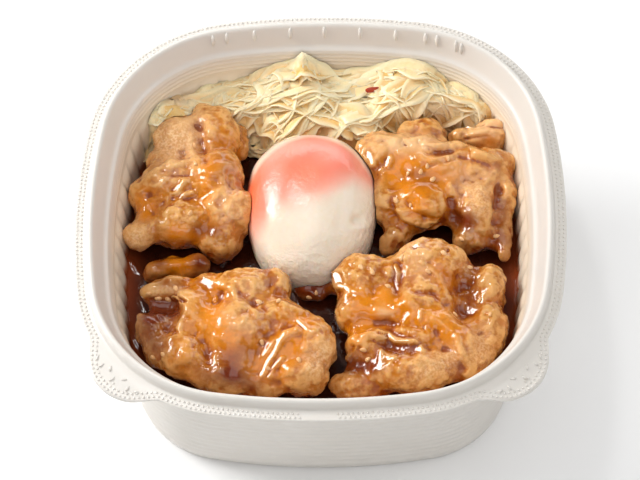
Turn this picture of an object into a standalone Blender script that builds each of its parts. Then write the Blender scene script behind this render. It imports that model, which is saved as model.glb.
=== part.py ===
"""Take-out bowl of glazed fried chicken on rice, with a soft-boiled egg and shredded cabbage.

Built in metres, +Z up. The origin is on the table, under the middle of the bowl, and the
bowl's front, with its two pull tabs, faces -Y. Sizes below are in millimetres.
"""

import math
import random
from collections import namedtuple

import bmesh
import bpy
from mathutils import Matrix, Vector

MM = 0.001
SHARP_ANGLE = math.radians(40)

# Bowl: half widths and corner radii of its rounded-square outline
FLANGE_HALF = 82.5
FLANGE_CORNER = 54.4
FLANGE_BOW = 8.2
FLANGE_Z = 60.0
FLANGE_THICK = 0.9
FLANGE_WIDTH = 5.5
LIP_HALF = 76.9
LIP_Z = 63.6
LEDGE_HALF = 71.6
LEDGE_Z = 54.5
FLOOR_THICK = 1.2
SIDE_STEPS = 4
CORNER_STEPS = 18
CORNER_CROWDING = 0.42
TAB_HALF = 74.4
TAB_CORNER = 16.4
TAB_LENGTH = 6.5
TAB_DROOP = 1.4

# Contents: the sauce's level, the gap between pieces and the room above the ledge
SAUCE_Z = 29.0
GAP = 0.4
CLEARANCE = 2 * GAP
HEADROOM = 20.0

# Egg: a rounded ball, wider towards the back
EGG_CENTRE = Vector((-3.7, 14.4, 36.0))
EGG_RADII = Vector((22.2, 28.0, 20.5))
EGG_POWER = 2.25
EGG_TAPER = 0.07
EGG_MERIDIANS = 28
EGG_PARALLELS = 16

# Sesame seeds, and where on a piece they may lie
SEED_LENGTH = 3.0
SEED_WIDTH = 1.9
SEED_THICK = 1.3
SEED_RISE = 0.15
SEED_SPACING = 6.0
SEED_LOW_Z = 6.0
SEED_CLEAR = 3.2
SEED_FACING = 0.35
SEED_DRAW = 5

# Lumps, fused and softened
LUMP_SUBDIVISIONS = 3
SOFTENING = 7
SOFTENING_FACTOR = 0.5
CRAG_MIDDLE = 0.5

# Shreds of cabbage, a strip's ends narrower than its middle and its underside than its top
SHRED_THICK = 1.0
SHRED_ROOT = 2.6
SHRED_ROOT_SHARE = 0.45
SHRED_STEPS = 4
SHRED_SPACING = 9.0
SHRED_SWAY = 0.5
SHRED_TWIST = 0.9
SHRED_LEAN = 0.35
SHRED_SAG = 0.45
SHRED_END = 0.35
SHRED_END_SHARE = 0.12
SHRED_UNDERSIDE = 0.8
SHRED_DRAW = 11
# How far each shred strays from its place, and the ranges that its sizes come from
SHRED_STRAY = ((-3.0, 3.0), (-6.0, 5.0), (-2.5, 0.5))
SHRED_TURN = 0.4
SHRED_LENGTHS = (18.0, 30.0)
SHRED_WIDTHS = (3.0, 6.0)
SHRED_ARCHES = (2.0, 5.0)
# How the shreds turn with the back wall, in radians at its ends
WALL_TURN = 0.9

Station = namedtuple("Station", "half corner z bow")
Lump = namedtuple("Lump", "x y z rx ry rz turn", defaults=(0,))
Crust = namedtuple("Crust", "voxel crag_size crag_depth")
Row = namedtuple("Row", "x y z shreds")
Finish = namedtuple("Finish", "name colour roughness")
Serving = namedtuple("Serving", "name lumps triangles seeds")

IVORY = Finish("ivory_plastic", (0.80, 0.78, 0.72), 0.38)
BROWN = Finish("brown_sauce", (0.06, 0.015, 0.006), 0.08)
WHITE = Finish("egg_white", (0.85, 0.74, 0.62), 0.25)
GLAZE = Finish("glazed_chicken", (0.55, 0.26, 0.10), 0.25)
LEAF = Finish("pale_cabbage", (0.80, 0.72, 0.45), 0.4)
GUIDE = Finish("guide", (0.5, 0.5, 0.5), 1.0)

BATTER = Crust(1.3, 7.0, 2.2)
LEAVES = Crust(2.2, 7.0, 2.0)
CABBAGE_TRIANGLES = 420

# Outer wall, from the foot up to the flange's underside
OUTER_WALL = (
    Station(63.8, 29.5, 0.0, 10.6),
    Station(66.6, 32.0, 1.3, 10.6),
    Station(67.3, 32.5, 5.0, 10.6),
    Station(69.0, 37.0, 29.0, 9.6),
    Station(72.8, 44.6, 54.0, FLANGE_BOW),
)
# The same wall from inside, from the floor up to the ledge that the lid sits on
INNER_WALL = (
    Station(63.8, 29.5, FLOOR_THICK, 10.6),
    Station(66.1, 31.5, 5.0, 10.6),
    Station(67.9, 36.5, SAUCE_Z, 9.6),
    Station(70.2, 41.5, 46.0, 8.8),
    Station(LEDGE_HALF, 43.5, LEDGE_Z, FLANGE_BOW),
)
# Ledge, lip and flange, from the ledge outwards and down
RIM = (
    Station(73.4, 45.3, 57.2, FLANGE_BOW),
    Station(75.7, 47.6, 62.3, FLANGE_BOW),
    Station(LIP_HALF, 48.8, LIP_Z, FLANGE_BOW),
    Station(77.8, 49.7, 63.0, FLANGE_BOW),
    Station(78.5, 50.4, FLANGE_Z, FLANGE_BOW),
)

# Chicken pieces as overlapping rounded lumps: centre, radii, turn about Z in degrees
BACK_LEFT = (
    Lump(-51, 42, 41, 9, 8.5, 10.5),
    Lump(-38, 43, 41, 10, 11.5, 10.5),
    Lump(-41, 51, 43, 6, 5, 6),
    Lump(-55, 33, 38, 7.5, 7, 9),
    Lump(-52, 23, 40, 12, 10, 11),
    Lump(-38, 25, 41, 11.5, 13, 12),
    Lump(-62, 21, 38, 6, 6, 7.5),
    Lump(-58, 13, 37, 7, 7, 7.5),
    Lump(-63, 4, 37, 6, 5, 6.5),
    Lump(-56, 7, 38, 6, 5, 6.5),
    Lump(-32, 12, 40, 11, 9, 10.5),
    Lump(-48, 8, 38, 11, 8, 9.5),
    Lump(-35, 2, 36, 8, 6, 8),
    Lump(-29, 44, 37, 3.5, 8, 4.5),
)
LEFT_NUB = (
    Lump(-50, -6, 33, 10, 5, 5.5),
    Lump(-43, -5, 34, 6, 4, 4.5),
    Lump(-57, -7.5, 32, 5, 4, 4.5),
)
BACK_RIGHT = (
    Lump(20, 34, 42, 9, 10, 9.5),
    Lump(27, 33, 41, 10, 10, 10),
    Lump(36, 30, 41, 13, 12, 11),
    Lump(35, 44, 42, 9, 5.5, 7),
    Lump(46, 30, 40, 10, 9, 10),
    Lump(56, 29, 41, 10.5, 8, 9.5),
    Lump(63.5, 31, 40, 4.5, 6, 6.5),
    Lump(64, 21, 38, 4, 10, 6.5),
    Lump(62.5, 7, 35, 3.5, 12.5, 5),
    Lump(35, 15, 40, 11, 9, 10),
    Lump(45, 20, 38, 8, 8, 9),
    Lump(54, 14, 38, 8, 13, 9.5),
    Lump(52, 4, 35, 7, 5, 6.5),
    Lump(22, 18, 38, 6, 9, 9),
    Lump(26, 6, 34, 5, 9.5, 6.5, -32),
)
FRONT_LEFT = (
    Lump(-50, -18, 38, 11.5, 4.5, 5.5, 6),
    Lump(-57, -20, 38, 4.5, 4, 5),
    Lump(-37, -20, 39, 9, 6.5, 8),
    Lump(-43, -31, 41, 6, 11, 8, -6),
    Lump(-50, -28, 34, 8, 8, 5),
    Lump(-56, -33, 37, 7, 7.5, 7.5),
    Lump(-52, -42, 37, 8, 7, 7.5),
    Lump(-26, -22, 41, 14, 8.5, 10.5),
    Lump(-16, -19, 41, 6.5, 6, 8.5),
    Lump(-28, -37, 41, 14, 12, 11),
    Lump(-13, -32, 42, 10, 6.5, 8, -15),
    Lump(-3, -42, 40, 9, 10, 10.5),
    Lump(-15, -44, 39, 9, 10, 9, -27),
    Lump(-6, -53, 38, 9.5, 6.5, 8.5),
    Lump(-45, -46, 40, 8.5, 8, 8.5),
    Lump(-30, -51, 38, 15, 8, 9),
    Lump(-18, -54, 37, 9, 6, 7),
)
FRONT_RIGHT = (
    Lump(37, -12, 42, 13.5, 10, 10.5),
    Lump(14, -16, 40, 10.5, 9, 10),
    Lump(25, -16, 39, 9, 9, 9),
    Lump(12, -27, 38, 7.5, 9.5, 9),
    Lump(-3, -15, 33, 7, 4.5, 4.5),
    Lump(22, -29, 41, 7, 6.5, 6.5),
    Lump(34, -26, 40, 13, 11, 11),
    Lump(36, -36, 40, 12, 10, 10),
    Lump(45, -42, 40, 8, 14, 9.5, 22),
    Lump(57, -20, 39, 6, 10, 8.5),
    Lump(56, -35, 38, 7, 11, 8.5),
    Lump(49, -26, 35, 8, 13, 8),
    Lump(50, -46, 37, 8, 8, 8),
    Lump(16, -42, 39, 9, 5, 7.5),
    Lump(31, -51, 39, 15, 8.5, 8.5),
    Lump(22, -46, 35, 10, 9, 7),
    Lump(13, -54, 34, 11, 6, 6.5),
)
CORNER_PIECE = (
    Lump(56, 43, 38, 9.5, 4.5, 9),
    Lump(60, 46.5, 42, 6, 3.5, 4.5),
    Lump(48, 43, 38, 5, 4, 8),
    Lump(54, 43, 32, 8, 4, 6),
)
# Heap under the shreds, along the back wall
CABBAGE_CORE = (
    Lump(-53, 51, 38, 10, 9, 9, -40),
    Lump(-36, 59, 38, 14, 9, 9, -16),
    Lump(-16, 61, 39, 14, 10, 9),
    Lump(4, 60, 38, 14, 11, 9),
    Lump(24, 60, 41, 13, 11, 10),
    Lump(42, 56, 41, 13, 9, 10, 18),
    Lump(57, 47, 39, 7, 9, 9, 40),
    Lump(-9, 50, 35, 12, 8, 7),
    Lump(10, 49, 36, 12, 7, 7),
)
# Where the shreds lie: middle and height of each batch, and how many
SHRED_ROWS = (
    Row(-53, 50, 48.0, 3),
    Row(-38, 59, 47.5, 3),
    Row(-18, 64, 49.0, 3),
    Row(-14, 52, 43.5, 2),
    Row(4, 64, 47.5, 2),
    Row(8, 52, 43.5, 2),
    Row(28, 63, 51.5, 3),
    Row(44, 57, 51.0, 3),
    Row(57, 51, 49.0, 1),
)
# Pieces of chicken in the order in which each is cut clear of those before it
CHICKEN = (
    Serving("chicken_front_left", FRONT_LEFT, 900, 11),
    Serving("chicken_front_right", FRONT_RIGHT, 980, 12),
    Serving("chicken_back_left", BACK_LEFT, 820, 6),
    Serving("chicken_back_right", BACK_RIGHT, 900, 9),
    Serving("chicken_corner", CORNER_PIECE, 200, 0),
    Serving("chicken_nub", LEFT_NUB, 190, 0),
)


def clear_scene():
    """Removes every object that the file starts with."""
    for obj in list(bpy.data.objects):
        bpy.data.objects.remove(obj)


def make_material(finish):
    """A plain plastic or food finish."""
    made = bpy.data.materials.new(finish.name)
    made.use_nodes = True
    shader = made.node_tree.nodes["Principled BSDF"]
    shader.inputs["Base Color"].default_value = (*finish.colour, 1.0)
    shader.inputs["Roughness"].default_value = finish.roughness
    shader.inputs["Metallic"].default_value = 0.0
    return made


def add_object(name, bm, material):
    """Turns a bmesh into a linked object."""
    mesh = bpy.data.meshes.new(name)
    bm.to_mesh(mesh)
    bm.free()
    obj = bpy.data.objects.new(name, mesh)
    obj.data.materials.append(material)
    bpy.context.scene.collection.objects.link(obj)
    return obj


def shade_round(obj):
    """Shades a turned or moulded body smooth, but for its sharp edges."""
    obj.data.shade_smooth()
    obj.data.set_sharp_from_angle(angle=SHARP_ANGLE)
    return obj


def apply_modifiers(obj):
    """Replaces the object's mesh with its evaluated one and drops its modifiers."""
    bpy.context.view_layer.update()
    graph = bpy.context.evaluated_depsgraph_get()
    mesh = bpy.data.meshes.new_from_object(obj.evaluated_get(graph), depsgraph=graph)
    obj.modifiers.clear()
    obj.data = mesh


def keep_largest_body(obj):
    """Drops loose scraps and sealed hollows that a cut leaves, and keeps the biggest body."""
    bm = bmesh.new()
    bm.from_mesh(obj.data)
    unseen = set(bm.faces)
    bodies = []
    while unseen:
        body = [unseen.pop()]
        for face in body:
            for edge in face.edges:
                for other in edge.link_faces:
                    if other in unseen:
                        unseen.remove(other)
                        body.append(other)
        bodies.append(body)
    bodies.sort(key=lambda body: sum(face.calc_area() for face in body))
    scraps = [face for body in bodies[:-1] for face in body]
    bmesh.ops.delete(bm, geom=scraps, context="FACES")
    bm.to_mesh(obj.data)
    bm.free()


def boolean(obj, operation, other=None, group=None, solver="EXACT"):
    """Adds a Boolean with one object, or with a collection, and applies it."""
    cut = obj.modifiers.new(operation.title(), "BOOLEAN")
    cut.operation = operation
    cut.solver = solver
    if group is None:
        cut.object = other
    else:
        cut.operand_type = "COLLECTION"
        cut.collection = group
    apply_modifiers(obj)


# Bowl


def rounded_square(half, corner, bow):
    """Points of a square with bowed sides and round corners, anticlockwise from +X.

    A side is an arc that turns by the bow angle each way, and meets the corner arc in line.
    The points crowd towards the middle of each corner, where two of them carry a tab.
    """
    bow = math.radians(bow)
    centre = (half - corner) / (1 + math.tan(bow / 2))
    side_radius = corner + centre / math.sin(bow)
    points = []
    for quarter in range(4):
        turn = Matrix.Rotation(quarter * math.pi / 2, 2)
        for step in range(SIDE_STEPS):
            angle = -bow + 2 * bow * step / SIDE_STEPS
            x = half - side_radius + side_radius * math.cos(angle)
            points.append(turn @ Vector((x, side_radius * math.sin(angle))))
        for step in range(CORNER_STEPS):
            share = step / CORNER_STEPS
            share += CORNER_CROWDING * math.sin(math.tau * share) / math.tau
            angle = bow + (math.pi / 2 - 2 * bow) * share
            spoke = Vector((math.cos(angle), math.sin(angle)))
            points.append(turn @ (Vector((centre, centre)) + corner * spoke))
    return points


def tab_reach(point):
    """How far a front corner's pull tab carries a point of the flange's edge outwards.

    The tabs are the corners of a smaller rounded square, where it passes the flange.
    """
    along = point.normalized()
    high = max(abs(along.x), abs(along.y))
    low = min(abs(along.x), abs(along.y))
    if point.y > 0 or low < high / 2:
        return 0.0
    centre = TAB_HALF - TAB_CORNER
    reach = TAB_HALF / high
    if reach * low > centre:
        corner = Vector((math.copysign(centre, point.x), -centre))
        middle = along.dot(corner)
        aside = (corner - along * middle).length
        reach = middle + math.sqrt(TAB_CORNER**2 - aside**2)
    return max(0.0, reach - point.length)


def ring(bm, station, tab=False, inset=0.0):
    """One ring of vertices at a station, with the pull tabs added on the flange's edge."""
    verts = []
    outline = rounded_square(station.half - inset, station.corner - inset, station.bow)
    for point in outline:
        reach = tab_reach(point) if tab else 0.0
        point = point + point.normalized() * reach
        height = station.z - TAB_DROOP * min(1.0, reach / TAB_LENGTH)
        verts.append(bm.verts.new(Vector((point.x, point.y, height)) * MM))
    return verts


def loft(bm, rings):
    """Joins each ring to the next with quads, and closes the first and the last."""
    for low, high in zip(rings, rings[1:]):
        count = len(low)
        for i in range(count):
            j = (i + 1) % count
            bm.faces.new((low[i], low[j], high[j], high[i]))
    bm.faces.new(reversed(rings[0]))
    bm.faces.new(rings[-1])


def build_bowl(material):
    """The bowl: foot, wall, flange with two pull tabs, lip and inner wall in one shell."""
    bm = bmesh.new()
    underside = FLANGE_Z - FLANGE_THICK
    flange = Station(FLANGE_HALF, FLANGE_CORNER, FLANGE_Z - FLANGE_THICK / 2, FLANGE_BOW)
    rings = [ring(bm, station) for station in OUTER_WALL]
    rings.append(ring(bm, flange._replace(z=underside), inset=FLANGE_WIDTH))
    rings.append(ring(bm, flange._replace(z=underside), tab=True, inset=FLANGE_THICK / 2))
    rings.append(ring(bm, flange, tab=True))
    rings.append(ring(bm, flange._replace(z=FLANGE_Z), tab=True, inset=FLANGE_THICK / 2))
    rings += [ring(bm, station) for station in reversed(RIM)]
    rings += [ring(bm, station) for station in reversed(INNER_WALL)]
    loft(bm, rings)
    return shade_round(add_object("bowl", bm, material))


def build_sauce(material):
    """The sauce over the bed of rice, which fills the bowl up to the level that shows."""
    bm = bmesh.new()
    floor = INNER_WALL[0]._replace(z=FLOOR_THICK + GAP)
    level = INNER_WALL[2]._replace(z=SAUCE_Z)
    rings = [ring(bm, station, inset=GAP) for station in (floor, INNER_WALL[1], level)]
    loft(bm, rings)
    return shade_round(add_object("sauce", bm, material))


def build_interior():
    """The free space over the sauce, a little clear of the wall: what trims the contents."""
    bm = bmesh.new()
    lowest = INNER_WALL[2]._replace(z=SAUCE_Z + GAP)
    highest = INNER_WALL[-1]._replace(z=LEDGE_Z + HEADROOM)
    stations = (lowest, INNER_WALL[3], INNER_WALL[4], highest)
    loft(bm, [ring(bm, station, inset=GAP) for station in stations])
    return add_object("interior", bm, make_material(GUIDE))


# Food


def lump_matrix(lump):
    """Place, turn and size of one lump, in metres."""
    place = Matrix.Translation(Vector((lump.x, lump.y, lump.z)) * MM)
    turn = Matrix.Rotation(math.radians(lump.turn), 4, "Z")
    size = Matrix.Diagonal((lump.rx * MM, lump.ry * MM, lump.rz * MM, 1.0))
    return place @ turn @ size


def build_lumps(name, lumps, material, crust, triangles):
    """One closed craggy body out of overlapping lumps."""
    bm = bmesh.new()
    for lump in lumps:
        bmesh.ops.create_icosphere(
            bm, subdivisions=LUMP_SUBDIVISIONS, radius=1.0, matrix=lump_matrix(lump)
        )
    obj = add_object(name, bm, material)
    remesh = obj.modifiers.new("Fuse", "REMESH")
    remesh.mode = "VOXEL"
    remesh.voxel_size = crust.voxel * MM
    smooth = obj.modifiers.new("Soften", "SMOOTH")
    smooth.factor = SOFTENING_FACTOR
    smooth.iterations = SOFTENING
    clouds = bpy.data.textures.new(name + "_crag", "CLOUDS")
    clouds.noise_scale = crust.crag_size * MM
    crag = obj.modifiers.new("Crag", "DISPLACE")
    crag.texture = clouds
    crag.texture_coords = "LOCAL"
    crag.strength = crust.crag_depth * MM
    crag.mid_level = CRAG_MIDDLE
    apply_modifiers(obj)
    thin = obj.modifiers.new("Thin", "DECIMATE")
    thin.use_collapse_triangulate = True
    thin.ratio = triangles / (2.0 * len(obj.data.polygons))
    apply_modifiers(obj)
    return obj


def swollen_copy(obj):
    """The body grown by the gap, which cuts its neighbours clear of it."""
    copy = bpy.data.objects.new(obj.name + "_clearance", obj.data.copy())
    bpy.context.scene.collection.objects.link(copy)
    grow = copy.modifiers.new("Grow", "DISPLACE")
    grow.strength = CLEARANCE * MM
    grow.mid_level = 0.0
    apply_modifiers(copy)
    return copy


def trim(obj, interior, neighbours, solver="EXACT"):
    """Cuts a body to the free space in the bowl, and clear of the bodies beside it."""
    boolean(obj, "INTERSECT", interior, solver=solver)
    for other in neighbours:
        cutter = swollen_copy(other)
        boolean(obj, "DIFFERENCE", cutter, solver=solver)
        bpy.data.objects.remove(cutter)
    keep_largest_body(obj)


def seed_places(obj, count, rng, others):
    """Points on the body's upper side, spread out and clear of the other bodies."""
    faces = [
        face
        for face in obj.data.polygons
        if face.normal.z > SEED_FACING and face.center.z > (SAUCE_Z + SEED_LOW_Z) * MM
    ]
    rng.shuffle(faces)
    chosen = []
    for face in faces:
        spot = face.center.copy()
        near_seed = any(
            (spot - place).length < SEED_SPACING * MM for place, _ in chosen
        )
        near_other = any(
            (other.closest_point_on_mesh(spot)[1] - spot).length < SEED_CLEAR * MM
            for other in others
        )
        if not near_seed and not near_other:
            chosen.append((spot, face.normal.copy()))
        if len(chosen) == count:
            break
    return chosen


def fuse_seeds(obj, count, rng, others):
    """Lays sesame seeds flat on the glaze and joins them to the piece."""
    seeds = bpy.data.collections.new(obj.name + "_seeds")
    bpy.context.scene.collection.children.link(seeds)
    for spot, normal in seed_places(obj, count, rng, others):
        stand = normal.to_track_quat("Z", "Y").to_matrix().to_4x4()
        spin = Matrix.Rotation(rng.uniform(0, math.tau), 4, "Z")
        size = Vector((SEED_LENGTH, SEED_WIDTH, SEED_THICK)) * MM / 2
        place = Matrix.Translation(spot + normal * SEED_THICK * MM * SEED_RISE)
        bm = bmesh.new()
        bmesh.ops.create_icosphere(
            bm,
            subdivisions=1,
            radius=1.0,
            matrix=place @ stand @ spin @ Matrix.Diagonal((*size, 1.0)),
        )
        seed = add_object("seed", bm, obj.data.materials[0])
        bpy.context.scene.collection.objects.unlink(seed)
        seeds.objects.link(seed)
    boolean(obj, "UNION", group=seeds)
    for seed in list(seeds.objects):
        bpy.data.objects.remove(seed)
    bpy.data.collections.remove(seeds)
    keep_largest_body(obj)


def build_egg(material, interior):
    """The soft-boiled egg, lying in the sauce with its broad end towards the back."""
    bm = bmesh.new()
    bmesh.ops.create_uvsphere(
        bm, u_segments=EGG_MERIDIANS, v_segments=EGG_PARALLELS, radius=1.0
    )
    for vert in bm.verts:
        spread = sum(abs(value) ** EGG_POWER for value in vert.co)
        point = vert.co / spread ** (1 / EGG_POWER)
        girth = 1 + EGG_TAPER * point.y
        point.x *= girth
        point.z *= girth
        vert.co = (EGG_CENTRE + point * EGG_RADII) * MM
    egg = add_object("egg", bm, material)
    trim(egg, interior, ())
    return shade_round(egg)


def build_shred(name, start, heading, length, width, arch, rng, material):
    """One strip of cabbage: it arches, sways and twists, and is rooted in the heap below."""
    bm = bmesh.new()
    sway = rng.uniform(-SHRED_SWAY, SHRED_SWAY)
    twist = rng.uniform(-SHRED_TWIST, SHRED_TWIST)
    rings = []
    for step in range(SHRED_STEPS + 1):
        share = step / SHRED_STEPS
        angle = heading + sway * (share - 0.5) * 2
        along = Vector((math.cos(angle), math.sin(angle), 0.0))
        lift = arch * math.sin(math.pi * share) - arch * SHRED_SAG
        centre = start + along * length * (share - 0.5) + Vector((0, 0, lift))
        lean = twist * (share - 0.5) + SHRED_LEAN
        across = Vector((-along.y, along.x, 0.0)) * math.cos(lean)
        across.z = math.sin(lean)
        up = along.cross(across)
        swell = math.sin(math.pi * (SHRED_END_SHARE + (1 - 2 * SHRED_END_SHARE) * share))
        half = width * (SHRED_END + (1 - SHRED_END) * swell) / 2
        root = 1.0 if abs(share - 0.5) > SHRED_ROOT_SHARE else SHRED_ROOT
        rim = (
            across * half * SHRED_UNDERSIDE - up * SHRED_THICK * root,
            across * half + up * SHRED_THICK / 2,
            -across * half + up * SHRED_THICK / 2,
            -across * half * SHRED_UNDERSIDE - up * SHRED_THICK * root,
        )
        rings.append([bm.verts.new((centre + corner) * MM) for corner in rim])
    loft(bm, rings)
    bmesh.ops.recalc_face_normals(bm, faces=bm.faces)
    return add_object(name, bm, material)


def build_cabbage(material, interior, neighbours):
    """The heap of shredded cabbage along the back: a core with the shreds that show."""
    rng = random.Random(SHRED_DRAW)
    heap = build_lumps("cabbage", CABBAGE_CORE, material, LEAVES, CABBAGE_TRIANGLES)
    stray_x, stray_y, stray_z = SHRED_STRAY
    shreds = bpy.data.collections.new("shreds")
    bpy.context.scene.collection.children.link(shreds)
    for row in SHRED_ROWS:
        along_wall = -WALL_TURN * row.x / LEDGE_HALF
        for i in range(row.shreds):
            spot = Vector((row.x, row.y, row.z))
            spot.x += (i - (row.shreds - 1) / 2) * SHRED_SPACING + rng.uniform(*stray_x)
            spot.y += rng.uniform(*stray_y)
            spot.z += rng.uniform(*stray_z)
            heading = along_wall + rng.uniform(-SHRED_TURN, SHRED_TURN)
            length = rng.uniform(*SHRED_LENGTHS)
            width = rng.uniform(*SHRED_WIDTHS)
            arch = rng.uniform(*SHRED_ARCHES)
            shred = build_shred("shred", spot, heading, length, width, arch, rng, material)
            bpy.context.scene.collection.objects.unlink(shred)
            shreds.objects.link(shred)
    boolean(heap, "UNION", group=shreds, solver="MANIFOLD")
    for shred in list(shreds.objects):
        bpy.data.objects.remove(shred)
    bpy.data.collections.remove(shreds)
    trim(heap, interior, neighbours, solver="MANIFOLD")
    return heap


def main():
    """Builds the bowl and its contents, each piece cut clear of those before it."""
    clear_scene()
    build_bowl(make_material(IVORY))
    build_sauce(make_material(BROWN))
    interior = build_interior()
    egg = build_egg(make_material(WHITE), interior)
    glaze = make_material(GLAZE)
    pieces = []
    for serving in CHICKEN:
        piece = build_lumps(serving.name, serving.lumps, glaze, BATTER, serving.triangles)
        trim(piece, interior, [egg, *pieces])
        pieces.append(piece)
    cabbage = build_cabbage(make_material(LEAF), interior, [egg, *pieces])
    rng = random.Random(SEED_DRAW)
    for piece, serving in zip(pieces, CHICKEN):
        if serving.seeds:
            others = [egg, cabbage, *(other for other in pieces if other is not piece)]
            fuse_seeds(piece, serving.seeds, rng, others)
    bpy.data.objects.remove(interior)


main()
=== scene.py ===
"""Looks of a take-out bowl of glazed fried chicken on rice, with a boiled egg and cabbage.

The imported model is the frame: metres, +Z up, the origin under the middle of the bowl and the
bowl's front, with its two pull tabs, at -Y. Sizes in this file are in millimetres.
"""

import logging
import math
import random
from collections.abc import Callable
from dataclasses import dataclass
from enum import Enum

import bpy
import numpy as np
from mathutils import Matrix, Vector, noise
from mathutils.bvhtree import BVHTree


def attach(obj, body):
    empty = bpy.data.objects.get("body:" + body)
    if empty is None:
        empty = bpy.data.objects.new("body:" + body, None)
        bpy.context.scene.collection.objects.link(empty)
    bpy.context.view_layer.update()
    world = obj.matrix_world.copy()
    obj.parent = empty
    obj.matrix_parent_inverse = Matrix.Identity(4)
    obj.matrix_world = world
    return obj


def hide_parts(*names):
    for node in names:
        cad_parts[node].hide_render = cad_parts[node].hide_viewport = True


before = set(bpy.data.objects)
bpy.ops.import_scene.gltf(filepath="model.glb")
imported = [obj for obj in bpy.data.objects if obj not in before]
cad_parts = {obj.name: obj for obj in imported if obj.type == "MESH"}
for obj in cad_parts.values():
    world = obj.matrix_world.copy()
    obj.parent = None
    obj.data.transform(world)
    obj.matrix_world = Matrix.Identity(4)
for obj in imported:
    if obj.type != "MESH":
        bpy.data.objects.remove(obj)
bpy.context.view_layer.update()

log = logging.getLogger("bowl")

Colour = tuple[float, float, float]
Rows = tuple[tuple[float, ...], ...]

MM = 0.001
BODY = "root"

SAUCE_Z = 29.0
# Where the food is cut off, under the sauce's surface
CUT_Z = SAUCE_Z - 0.6
GAP = 0.4
FLANGE_HALF = 82.5
FLANGE_CORNER = 54.4
FLANGE_Z = 60.0
# A height above everything, from which rays are cast down
SKY_Z = 80.0
DOWN = Vector((0.0, 0.0, -1.0))
# The eye's place and axes, and the height of the plane that every mark is read on
EYE = np.array((19.79, -490.49, 762.93))
EYE_AXES = ((0.9997, 0.0099, -0.0213), (0.0038, 0.8272, 0.5618), (0.0232, -0.5618, 0.8270))
EYE_LENS = 143.62
READ_Z = 45.0
# The places of the lights that the glints on the food and on the sauce mirror
KEY = np.array((-620.0, 220.0, 420.0))
SPARK = np.array((-200.0, 300.0, 900.0))
# How many points an outline has where it is only measured against
FINE_OUTLINE = 720


@dataclass(frozen=True)
class Station:
    """One level of a wall: a bowed square's half width, corner radius, height and bow."""

    half: float
    corner: float
    z: float
    bow: float = 8.2


@dataclass(frozen=True)
class Lump:
    """A rounded lump: centre, radii and its turn about Z in degrees."""

    x: float
    y: float
    z: float
    rx: float
    ry: float
    rz: float
    turn: float = 0.0


class Look(Enum):
    """What a mark on a piece of chicken does."""

    RIDGE = "ridge"
    GLINT = "glint"
    AMBER = "amber"
    DARK = "dark"
    PALE = "pale"
    DRY = "dry"


@dataclass(frozen=True)
class Mark:
    """A spot or a line on a piece, read where the line of sight meets the plane at READ_Z.

    The strength is a height in millimetres for RIDGE and GLINT, and a share for a colour.
    """

    path: Rows
    reach: float
    strength: float


def stations(*rows: tuple[float, ...]) -> tuple[Station, ...]:
    """Stations from rows of their values."""
    return tuple(Station(*row) for row in rows)


def lumps(*rows: tuple[float, ...]) -> tuple[Lump, ...]:
    """Lumps from rows of their values."""
    return tuple(Lump(*row) for row in rows)


def marks(*rows: tuple[float, ...]) -> tuple[Mark, ...]:
    """Marks from rows of a half width, a strength, and the path's corners as x, y."""
    return tuple(Mark(tuple(zip(row[2::2], row[3::2])), row[0], row[1]) for row in rows)


# The bowl's inner wall, from the floor to the lid's ledge
WALL = stations(
    (63.8, 29.5, 1.2, 10.6), (66.1, 31.5, 5.0, 10.6), (67.9, 36.5, SAUCE_Z, 9.6),
    (70.2, 41.5, 46.0, 8.8), (71.6, 43.5, 54.5))

BACK_LEFT = lumps(
    (-51, 42, 41, 9, 8.5, 10.5), (-38, 43, 41, 10, 11.5, 10.5), (-41, 51, 43, 6, 5, 6),
    (-55, 33, 38, 7.5, 7, 9), (-52, 23, 40, 12, 10, 11), (-38, 25, 41, 11.5, 13, 12),
    (-62, 21, 38, 6, 6, 7.5), (-58, 13, 37, 7, 7, 7.5), (-63, 4, 37, 6, 5, 6.5),
    (-56, 7, 38, 6, 5, 6.5), (-32, 12, 40, 11, 9, 10.5), (-48, 8, 38, 11, 8, 9.5),
    (-35, 2, 36, 8, 6, 8), (-29, 44, 37, 3.5, 8, 4.5))

LEFT_NUB = lumps(
    (-50, -6, 33, 10, 5, 5.5), (-43, -5, 34, 6, 4, 4.5), (-57, -7.5, 32, 5, 4, 4.5))

BACK_RIGHT = lumps(
    (20, 34, 42, 9, 10, 9.5), (27, 33, 41, 10, 10, 10), (36, 30, 41, 13, 12, 11),
    (35, 44, 42, 9, 5.5, 7), (46, 30, 40, 10, 9, 10), (56, 29, 41, 10.5, 8, 9.5),
    (63.5, 31, 40, 4.5, 6, 6.5), (64, 21, 38, 4, 10, 6.5), (62.5, 7, 35, 3.5, 12.5, 5),
    (35, 15, 40, 11, 9, 10), (45, 20, 38, 8, 8, 9), (54, 14, 38, 8, 13, 9.5), (52, 4, 35, 7, 5, 6.5),
    (22, 18, 38, 6, 9, 9), (26, 6, 34, 5, 9.5, 6.5, -32))

FRONT_LEFT = lumps(
    (-50, -18, 38, 11.5, 4.5, 5.5, 6), (-57, -20, 38, 4.5, 4, 5), (-37, -20, 39, 9, 6.5, 8),
    (-43, -31, 41, 6, 11, 8, -6), (-50, -28, 34, 8, 8, 5), (-56, -33, 37, 7, 7.5, 7.5),
    (-52, -42, 37, 8, 7, 7.5), (-26, -22, 41, 14, 8.5, 10.5), (-16, -19, 41, 6.5, 6, 8.5),
    (-28, -37, 41, 14, 12, 11), (-13, -32, 42, 10, 6.5, 8, -15), (-3, -42, 40, 9, 10, 10.5),
    (-15, -44, 39, 9, 10, 9, -27), (-6, -53, 38, 9.5, 6.5, 8.5), (-45, -46, 40, 8.5, 8, 8.5),
    (-30, -51, 38, 15, 8, 9), (-18, -54, 37, 9, 6, 7))

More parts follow.
